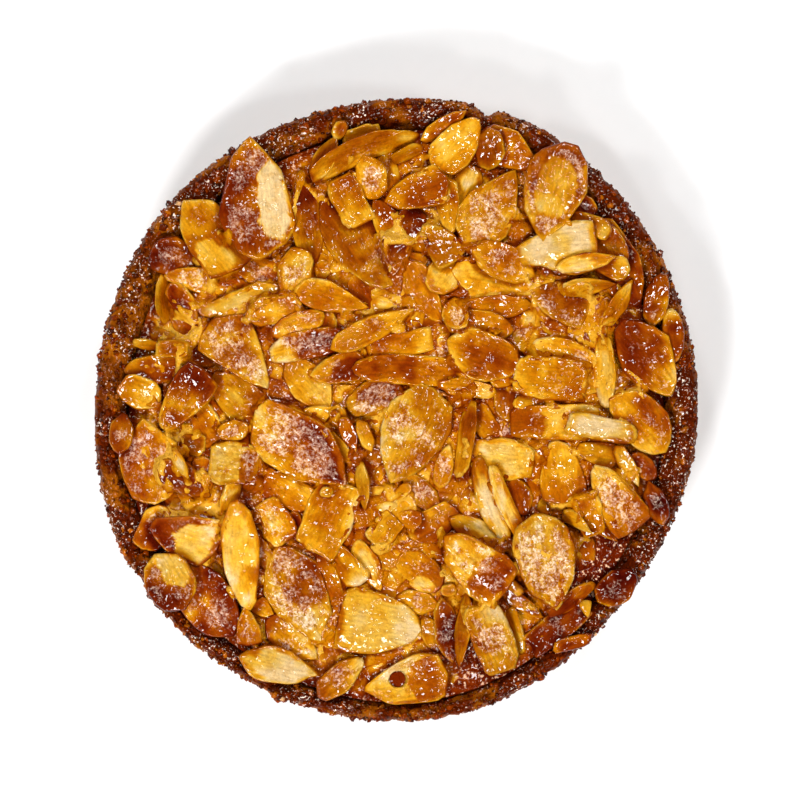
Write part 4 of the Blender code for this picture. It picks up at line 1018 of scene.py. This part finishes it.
# Finishes: layers of syrup on the cut face and along its edge, how much blistered sugar, and for some
# a part of the face with another number of layers: that number, the part's middle along and across
# the slice, and its reach along and across, all in halves of the slice's size.
FINISHES = {
    "pale": (0.35, 2.7, 0.15, None),
    "cream": (0.80, 2.9, 0.25, None),
    "paletan": (1.1, 2.5, 0.40, (3.2, -0.9, 0.0, 0.75, 1.3)),
    "palegold": (0.95, 2.9, 0.20, (2.6, 0.9, 0.3, 0.7, 0.8)),
    "palefrost": (1.1, 3.3, 0.60, (4.0, 0.6, -0.1, 0.50, 1.0)),
    "tan": (1.9, 3.5, 0.55, None),
    "ringed": (3.8, 3.2, 0.95, (1.8, -0.08, 0.04, 0.64, 0.60)),
    "patched": (5.8, 5.0, 0.80, (1.7, -0.36, 0.42, 0.62, 0.60)),
    "bright": (1.6, 2.3, 0.25, (1.1, -0.2, 0.3, 0.5, 0.5)),
    "yellow": (2.1, 2.5, 0.30, (1.5, -0.2, 0.3, 0.5, 0.5)),
    "gold": (2.8, 2.8, 0.40, None),
    "goldpale": (2.8, 2.8, 0.45, (0.8, 0.45, -0.5, 0.5, 0.45)),
    "goldfrost": (2.8, 3.0, 0.80, None),
    "goldburnt": (2.8, 2.9, 0.50, (8.5, -0.5, -0.8, 0.4, 0.5)),
    "goldamber": (2.9, 3.5, 0.45, (4.2, -0.5, 0.0, 0.7, 0.9)),
    "amber": (4.2, 3.5, 0.40, None),
    "amberfrost": (4.0, 3.5, 0.90, None),
    "amberbrown": (3.3, 3.7, 0.55, (6.2, 0.5, -0.3, 0.7, 0.8)),
    "brownamber": (5.6, 4.1, 0.50, None),
    "brown": (8.2, 6.2, 0.60, None),
    "brownfrost": (5.8, 5.2, 0.95, None),
    "brownpale": (6.0, 5.0, 0.60, (0.75, 0.45, -0.15, 0.70, 0.85)),
    "burnt": (7.6, 7.0, 0.60, None),
    "burntfrost": (6.4, 4.9, 0.95, None),
    "burntgold": (6.4, 4.9, 0.55, (1.4, 0.8, 0.0, 0.45, 0.9)),
    "crusted": (3.4, 3.5, 1.00, (5.6, 0.35, 0.30, 0.8, 0.7)),
    "frost": (2.3, 3.3, 0.95, None),
    "frostbrown": (2.2, 3.5, 0.90, (5.0, 0.50, 0.0, 0.5, 0.9)),
    "frostdark": (2.0, 3.5, 0.95, (3.5, -0.40, 0.35, 0.80, 0.80)),
    "whitefrost": (1.6, 3.1, 1.00, None),
    "halfpale": (5.5, 4.3, 0.95, (0.35, -0.02, -0.52, 0.74, 0.48)),
    "olive": (3.5, 3.1, 0.30, None),
}


def slice_outline(outline, turns, draw):
    """Points round a slice from -1 to 1 along and across: half_width() on both sides, with seeded nicks,
    and straight breaks between seeded corners unless both ends are blunt."""
    angle = full_turn(turns)
    along = np.cos(angle)
    across = 2 * np.where(np.sin(angle) < 0, -1, 1) * half_width(outline, along)
    nicks = sum(draw.normal(0, height) * np.cos(count * angle + draw.uniform(0, 7))
                for counts, height in NICKS for count in counts)
    edge = np.stack([along, across]) * (1 + nicks)
    sides = 2 * draw.integers(4, 8)
    stops = np.arange(sides) + draw.uniform(-CORNER_DRIFT, CORNER_DRIFT, sides)
    stops[[0, sides // 2]] = 0, sides // 2
    corners = [np.interp(stops * turns / sides, np.arange(turns), row, period=turns) for row in edge]
    broken = [np.interp(np.arange(turns), stops * turns / sides, row, period=turns) for row in corners]
    straight = BROKEN_SHARE if max(outline) > 0.3 else 0.0
    return (1 - straight) * edge + straight * np.stack(broken)


def curved(along, across, length, bend):
    """Carries a point of a straight slice onto an arc that turns by the bend over its length, which
    straightened() undoes."""
    if not bend:
        return along, across
    radius, sag = bend_arc(length, bend)
    angle = along / radius
    return (radius - across) * np.sin(angle), radius - (radius - across) * np.cos(angle) - sag / 2


def slice_points(piece, plane, flat):
    """Places points (along, across, up) of a flat slice in the tart, on the plane it lies on."""
    centre_x, centre_y, length, _, turn, _, bend, lean = piece[:8]
    height, rise_along, rise_across = plane
    cosine, sine = direction(turn)
    along, across, up = flat
    along, across = curved(along, across * math.cos(math.radians(lean)), length * MM, bend)
    up = height + rise_along * along + rise_across * across + up / math.cos(math.radians(lean))
    return np.stack([centre_x * MM + along * cosine - across * sine,
                     centre_y * MM + along * sine + across * cosine, up], -1)


def slice_surface(piece, plane, number, hole, spacing):
    """One slice as rings of points from the middle of its top over the edge to the middle of its
    underside. A ring is the outline scaled down. With a hole, the rings start at the hole's rim.
    Returns points, the ring count, the turn count, and for each point how far from the edge it is,
    and where it is along and across, in metres and in halves of the slice's size."""
    _, _, length, width, _, outline = piece[:6]
    draw = np.random.default_rng(SHAPE_SEED + number)
    turns = max(20, int(EDGE_DENSITY * (length + width) * MM / spacing))
    steps = max(4, int(0.5 * width * MM / spacing))
    edge = slice_outline(outline, turns, draw)
    half = width * MM / 2
    out, level = np.array(SHOULDER_RINGS).T
    inner = np.linspace(INNERMOST_RING, 1 - min(SHOULDER, 0.4 * half) / half, steps)
    scale = np.concatenate([inner, inner[-1] + (1 - inner[-1]) * out, [0.5]])
    level = np.concatenate([np.ones(steps), level, [0.0]])
    flat = edge[:, None] * scale[None, :, None]
    if hole:
        middle_along, middle_across, radius = hole
        angle = full_turn(turns)
        ring = np.stack([np.cos(angle) * radius * 2 / length + middle_along,
                         np.sin(angle) * radius * 2 / width + middle_across])
        flat = ring[:, None] + (edge - ring)[:, None] * ((scale - scale[0]) / (1 - scale[0]))[None, :, None]
    along, across = flat[0] * length * MM / 2, flat[1] * width * MM / 2
    # The slice's own place in the clouds, a decimetre from the next slice's, so that no two are alike.
    spot = np.stack([along, across, np.full_like(along, number * 0.1)], -1).reshape(-1, 3)
    dish = draw.uniform(*DISH) * (1 - flat[0] ** 2 - flat[1] ** 2) + draw.normal(0, TWIST) * flat[0] * flat[1]
    wave = mottle(spot, FACE_WAVES).reshape(along.shape)
    blister = mottle(spot, SUGAR_BLISTERS).reshape(along.shape) * FINISHES[piece[8]][2]
    top = (level > 0.5)[:, None]
    up = level[:, None] * SLICE_THICKNESS + np.where(top, dish + wave + blister * level[:, None], dish)
    points = slice_points(piece, plane, (along, across, up)).reshape(-1, 3)
    points[:, 2] = np.minimum(points[:, 2], cad_high[2])
    inside = np.arange(len(scale)) < steps + EDGE_FROM_RING
    to_edge = np.repeat(np.where(inside, 1 - scale, 0.0) * half, turns)
    return points, len(scale), turns, to_edge, spot, flat.reshape(2, -1)


def margin(to_edge, ragged, band):
    """1 in a band along a slice's edge and 0 inside it, with a ragged border."""
    width, wander, soft = band
    return ramp(width + wander * ragged - to_edge, 0.0, soft)


def slice_colours(piece, points, to_edge, spot, flat, number):
    """How many layers of syrup lie on each point, turned into a colour: the finish's face, edge and part,
    each with a ragged border, darker towards one side from thicker syrup and painted shade, and in pools a
    few millimetres across. There is more in the corner beneath a slice that lies on this one, as syrup and
    painted shade, and in a thin dark line along parts of the edge. Other parts of the edge get fewer layers
    and more froth as a painted highlight. Returns the tone and how frothy it is."""
    face, edge, sugar, part = FINISHES[piece[8]]
    draw = np.random.default_rng(COLOUR_SEED + number)
    ragged = mottle(spot, RAGGED)
    layers = np.full(len(spot), float(face))
    frost = sugar * (1.065 + mottle(spot, FROTH_PATCHES))
    if part:
        other, along, across, reach_along, reach_across = part
        off = np.hypot((flat[0] - along) / reach_along, (flat[1] - across) / reach_across)
        inside = ramp(1.0 - off + 0.35 * ragged, -0.06, 0.06)
        layers += (other - layers) * inside
        if other < face:
            frost *= 1 - 0.85 * inside
    layers += 0.85 * (edge - layers) * margin(to_edge, ragged, EDGE_MARGIN)
    side, darker_side_layers = draw.uniform(0, 2 * math.pi), DRAWN_SIDE
    if len(piece) > 9:
        side, darker_side_layers = math.radians(piece[9]), CHOSEN_SIDE
    # Darker towards one side: thicker syrup and painted shade, with pools of syrup.
    uneven_syrup_and_shade = darker_side_layers * (flat[0] * math.cos(side) + flat[1] * math.sin(side)) + mottle(spot, SYRUP_POOLS)
    layers += uneven_syrup_and_shade * (0.38 + 0.30 * layers)
    # Syrup and painted shade: darker in the corner beneath a slice that lies on this one.
    corner = ramp(on_grid(shading_pile, points[:, 0], points[:, 1]) - points[:, 2], *BENEATH_SLICE_SHADE)
    line = margin(to_edge, ragged, DARK_LINE) * ramp(cloud(spot, *LINE_PATCHES), 0.48, 0.62)
    # Painted highlight: parts of the edge get fewer layers and more froth, as if they caught the light.
    painted_highlight = margin(to_edge, ragged, PAINTED_HIGHLIGHT_EDGE) * ramp(cloud(spot, *HIGHLIGHT_PATCHES), 0.50, 0.62)
    layers = np.maximum(layers * (1 - 0.50 * painted_highlight), 0.2)
    layers += CORNER_SYRUP_AND_SHADE * corner + LINE_SYRUP * line * (1 - painted_highlight)
    frost *= 1 - 0.75 * margin(to_edge, ragged, FROTH_FREE_MARGIN)
    frost *= 1 - 0.10 * ramp(layers, 3.5, 6.5)
    frost += 0.30 * painted_highlight
    bare = 1 - 0.24 * (1 - ramp(layers, 0.3, 1.8))
    return under_syrup(layers) * (bare * draw.uniform(*TONE_SPREAD))[:, None], np.clip(frost, 0, 1)


def glazed_slice(piece, plane, number, hole=None, spacing=POINT_SPACING):
    """One slice with its colours: its arrays, in the order that joined() takes them."""
    surface, rings, turns, to_edge, spot, flat = slice_surface(piece, plane, number, hole, spacing)
    tone, frost = slice_colours(piece, surface, to_edge, spot, flat, number)
    return surface, rings, turns, tone, frost, spot, hole


def joined(parts):
    """Puts surfaces of rings into one set of arrays: quads, the fans at both poles, or a last band of
    quads that joins the first and the last ring where there is a hole."""
    groups, start = [], 0
    for surface, rings, turns, tone, frost, spot, hole in parts:
        quads, fans = lathe_faces(rings, turns)
        if hole:
            turn = np.arange(turns)
            last, after = (rings - 1) * turns, (turn + 1) % turns
            quads = np.concatenate([quads, np.stack([last + turn, last + after, after, turn], 1)])
            fans = fans[:0]
        else:
            surface = np.concatenate([surface, [surface[:turns].mean(0), surface[-turns:].mean(0)]])
            tone, frost, spot = (np.concatenate([row, row[:1], row[-1:]]) for row in (tone, frost, spot))
        groups.append((surface, quads[:, ::-1] + start, fans[:, ::-1] + start, tone, frost, spot))
        start += len(surface)
    return [np.concatenate(group) for group in zip(*groups)]


# Almond, sliced and glazed: a waxy nut under a thin coat of syrup. The blistered sugar's small pinkish-white
# glints come partly from the coat and partly from pale specks painted into the colour.
almond_material, tree = new_material("sliced_and_glazed_almond")
tone = node(tree, "Attribute", {}, attribute_name="tone")
frost = node(tree, "Attribute", {}, attribute_name="frost").outputs["Fac"]
place = node(tree, "Attribute", {}, attribute_name="spot").outputs["Vector"]
# Blisters about 0.6 mm across, sugar grains about 0.25 mm across (twice the real size, so that they
# show), and the nut's grain, which runs along the slice: 1.1 by 0.25 mm.
blisters = node(tree, "TexNoise", {"Vector": place, "Scale": 1 / BLISTER_GRAIN, "Detail": 1.5})
sugar = node(tree, "TexNoise", {"Vector": place, "Scale": 1 / SUGAR_GRAIN, "Detail": 2.0,
                                "Roughness": 0.6, "Distortion": 0.6})
drawn_out = node(tree, "VectorMath", {0: place, 1: (0.22, 1.0, 1.0)}, operation="MULTIPLY")
grain = node(tree, "TexNoise", {"Vector": drawn_out, "Scale": 1 / NUT_GRAIN, "Detail": 2.0})
# Syrup gathers in the pits: more of it where the sugar frothed.
pitted = node(tree, "MapRange", {"Value": frost, "To Min": 0.15, "To Max": 1.0})
pit = node(tree, "MapRange", {"Value": blisters, "From Min": 0.56, "From Max": 0.38})
gathered = node(tree, "Math", {0: pit, 1: pitted}, operation="MULTIPLY")
mottled = node(tree, "TexNoise", {"Vector": place, "Scale": 1 / NUT_GRAIN, "Detail": 2.0,
                                  "Roughness": 0.8})
streak = node(tree, "Math", {0: grain, 1: mottled}, operation="ADD")
shade = node(tree, "MapRange", {"Value": streak, "From Min": 0.70, "From Max": 1.30, "To Min": 0.76,
                                "To Max": 1.31})
toned = node(tree, "VectorMath", {0: tone, "Scale": shade}, operation="SCALE")
syrup = node(tree, "VectorMath", {0: toned, 1: tuple(SYRUP_TINT ** 1.7)}, operation="MULTIPLY")
coated = node(tree, "MixRGB", {"Fac": gathered, "Color1": toned, "Color2": syrup})
# White froth where the sugar grains stand up through the syrup, painted partly as glints.
level = node(tree, "MapRange", {"Value": frost, "To Min": 0.73, "To Max": 0.425})
high = node(tree, "Math", {0: level, 1: 0.21}, operation="ADD")
raised = node(tree, "MixRGB", {"Fac": 0.30, "Color1": sugar, "Color2": blisters})
speck = node(tree, "MapRange", {"Value": raised, "From Min": level, "From Max": high})
crystal = node(tree, "Math", {0: speck, 1: 1.4}, operation="POWER")
# On brown slices the froth is soaked with syrup, so it shows less.
paleness = node(tree, "RGBToBW", {"Color": tone})
strength = node(tree, "MapRange", {"Value": paleness, "From Min": 0.04, "From Max": 0.34, "To Min": 0.46,
                                   "To Max": 0.96})
froth_and_glint_share = node(tree, "Math", {0: crystal, 1: strength}, operation="MULTIPLY")
colour = node(tree, "MixRGB", {"Fac": froth_and_glint_share, "Color1": coated, "Color2": rgba(ALMOND_FROTH_GLINT)})
# The glaze is wavy where it is smooth, which draws the lamps into crisp streaks, and dull where it frothed.
# Where it is thick and dark, it ran level.
waves = node(tree, "TexNoise", {"Vector": place, "Scale": 1 / GLAZE_WAVE, "Detail": 0.8})
even = node(tree, "MapRange", {"Value": paleness, "From Min": 0.02, "From Max": 0.14, "To Min": 0.60,
                               "To Max": 1.0})
wavy = node(tree, "Bump", {"Height": waves, "Strength": even, "Distance": 0.00038})
depth = node(tree, "MapRange", {"Value": frost, "To Min": 0.15, "To Max": 1.0})
grainy = node(tree, "Bump", {"Height": raised, "Strength": depth, "Distance": 0.0006})
film = node(tree, "MapRange", {"Value": frost, "From Min": 0.2, "From Max": 0.8, "To Min": 0.72,
                               "To Max": 0.26})
# Bare cut faces took up little syrup, so the glaze is thin there.
dry = node(tree, "MapRange", {"Value": paleness, "From Min": 0.26, "From Max": 0.42, "To Min": 1.0,
                              "To Max": 0.25})
glaze = node(tree, "Math", {0: film, 1: dry}, operation="MULTIPLY")
shader = node(tree, "BsdfPrincipled", {
    "Base Color": colour, "Roughness": 0.55, "IOR": 1.47, "Specular IOR Level": 0.0, "Normal": grainy,
    "Coat Weight": glaze, "Coat Roughness": 0.03, "Coat Normal": wavy})
node(tree, "OutputMaterial", {"Surface": shader})

# One piece for each layer of the heap. One slice by the bottom rim has a round hole through it: where its
# middle is, in halves of the slice's size, and its radius in millimetres.
HOLED_SLICE, HOLE = (2.2, -53.6), (-0.2, 0.20, 1.6)
number = 0
for name, layer in (("almond_slices_lower", LOWER_SLICES), ("almond_slices_middle", MIDDLE_SLICES),
                    ("almond_slices_upper", UPPER_SLICES)):
    parts = []
    for piece in layer:
        parts.append(glazed_slice(piece, planes[number], number, HOLE if piece[:2] == HOLED_SLICE else None))
        number += 1
    points, quads, fans, tone, frost, spot = joined(parts)
    almonds = new_piece(name, points, quads, fans, almond_material, tone=tone, frost=frost, spot=spot)
    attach(almonds, "root")
    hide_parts("almond_filling")

# ----------------------------------------------------------------------------------------------
# Broken almond between the slices. Chips and ends of slices that sank into the hot caramel, so that
# only their tops show in the gaps.
CHIP_COUNT = 215
CHIP_APART = 0.0018
CHIP_SEED = 300
CHIP_SPACING = 1.4 * POINT_SPACING
# Where they lie: where slices rise less than this above the caramel, and this far from the rim.
CHIP_ROOM, CHIP_TO_RIM = 0.0010, 0.0030
CHIP_LENGTHS, CHIP_WIDTH_SHARES = (4.0, 8.5), (0.45, 0.75)
# Each follows the caramel's slope, smoothed over this distance, with a tilt of its own.
SLOPE_SMOOTHING, CHIP_TILT, STEEPEST_CHIP = 0.0015, 0.10, 0.3
CHIP_RISE = (-0.0002, 0.0004)
CHIP_OUTLINES = (OVAL, STUB, WEDGE, BLOCK)
CHIP_FINISHES = ("gold", "goldfrost", "goldamber", "amber", "amber", "amberfrost", "brownamber", "tan",
                 "yellow")

draw = np.random.default_rng(53)
x, y = np.meshgrid(axis, axis)
free = (highest_near - caramel_top(x, y) < CHIP_ROOM) & (inside_rim(x, y) > CHIP_TO_RIM)
places = np.stack([x[free], y[free]], 1)
chosen = []
for here in places[draw.permutation(len(places))]:
    if all(np.hypot(*(here - other)) > CHIP_APART for other in chosen):
        chosen.append(here)
    if len(chosen) == CHIP_COUNT:
        break
slope_y, slope_x = np.gradient(smoothed(caramel_grid, SLOPE_SMOOTHING), CELL)
parts = []
for number, (x, y) in enumerate(chosen, CHIP_SEED):
    length = draw.uniform(*CHIP_LENGTHS)
    turn = draw.uniform(0, 360)
    outline = CHIP_OUTLINES[draw.integers(len(CHIP_OUTLINES))]
    finish = CHIP_FINISHES[draw.integers(len(CHIP_FINISHES))]
    piece = (x / MM, y / MM, length, length * draw.uniform(*CHIP_WIDTH_SHARES), turn, outline, 0, 0, finish)
    cosine, sine = direction(turn)
    here = np.array([x]), np.array([y])
    along_x, along_y = on_grid(slope_x, *here)[0], on_grid(slope_y, *here)[0]
    rises = [np.clip(rise + draw.normal(0, CHIP_TILT), -STEEPEST_CHIP, STEEPEST_CHIP)
             for rise in (along_x * cosine + along_y * sine, along_y * cosine - along_x * sine)]
    height = caramel_height(*here)[0] - SLICE_THICKNESS + draw.uniform(*CHIP_RISE)
    parts.append(glazed_slice(piece, (height, *rises), number, spacing=CHIP_SPACING))
points, quads, fans, tone, frost, spot = joined(parts)
chips = new_piece("sunken_almond_chips", points, quads, fans, almond_material, tone=tone, frost=frost,
                  spot=spot)
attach(chips, "root")
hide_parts("almond_filling")

# ----------------------------------------------------------------------------------------------
# The ground and the light. A plain white table, two soft lamps, and four small ones that put glints on
# the syrup. The camera looks straight down, as the photograph was taken.
# The photograph: its scale, its side, and where the tart's middle is in it.
PIXELS_PER_MM = 5.12
FRAME_PIXELS = 800
TART_MIDDLE_PIXEL = (395, 408)
CAMERA_HEIGHT = 0.70
SENSOR = 36.0
WORLD_LIGHT = 0.045

ground_material, tree = new_material("matt_white_card")
place = node(tree, "TexCoord", {}).outputs["Object"]
fibre = node(tree, "TexNoise", {"Vector": place, "Scale": 400.0})
shade = node(tree, "MapRange", {"Value": fibre, "To Min": 0.93, "To Max": 0.95})
colour = node(tree, "CombineColor", {0: shade, 1: shade, 2: shade})
shader = node(tree, "BsdfPrincipled", {"Base Color": colour, "Roughness": 0.9})
node(tree, "OutputMaterial", {"Surface": shader})
corners = np.array([(-1, -1, 0), (1, -1, 0), (1, 1, 0), (-1, 1, 0)]) * 2.0 - (0, 0, 0.0001)
ground = new_piece("ground", corners, np.array([[0, 1, 2, 3]]), np.zeros((0, 3), int), ground_material)
ground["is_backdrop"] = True

world = bpy.data.worlds.new("studio")
bpy.context.scene.world = world
world.use_nodes = True
world.node_tree.nodes["Background"].inputs["Color"].default_value = (1.0, 1.0, 1.0, 1.0)
world.node_tree.nodes["Background"].inputs["Strength"].default_value = WORLD_LIGHT

# Name, how far off the vertical and in which direction, in degrees, then distance, side and power.
LAMPS = (("key_softbox", 42, 244, 0.60, 0.15, 3.6), ("back_softbox", 44, 62, 0.66, 0.15, 2.5),
         ("left_spark", 30, 165, 0.50, 0.055, 0.38), ("right_spark", 31, 352, 0.50, 0.055, 0.34),
         ("upper_spark", 33, 105, 0.50, 0.055, 0.32), ("lower_spark", 29, 290, 0.50, 0.055, 0.34))
for name, off, toward, distance, side, power in LAMPS:
    up, aside = direction(off)
    cosine, sine = direction(toward)
    lamp = bpy.data.lights.new(name, "AREA")
    lamp.shape = "SQUARE"
    lamp.size = side
    lamp.energy = power
    holder = bpy.data.objects.new(name, lamp)
    holder.location = (distance * aside * cosine, distance * aside * sine, RIM_HEIGHT + distance * up)
    aim = Vector((0, 0, RIM_HEIGHT)) - holder.location
    holder.rotation_euler = aim.to_track_quat("-Z", "Y").to_euler()
    bpy.context.scene.collection.objects.link(holder)

lens = bpy.data.cameras.new("camera")
lens.sensor_width = SENSOR
lens.lens = SENSOR * (CAMERA_HEIGHT - RIM_HEIGHT) / (FRAME_PIXELS / PIXELS_PER_MM * MM)
lens.clip_start, lens.clip_end = 0.01, 10
camera = bpy.data.objects.new("camera", lens)
camera.location = ((FRAME_PIXELS / 2 - TART_MIDDLE_PIXEL[0]) / PIXELS_PER_MM * MM,
                   (TART_MIDDLE_PIXEL[1] - FRAME_PIXELS / 2) / PIXELS_PER_MM * MM, CAMERA_HEIGHT)
bpy.context.scene.collection.objects.link(camera)
bpy.context.scene.camera = camera
bpy.context.scene.view_settings.view_transform = "Standard"

low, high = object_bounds()
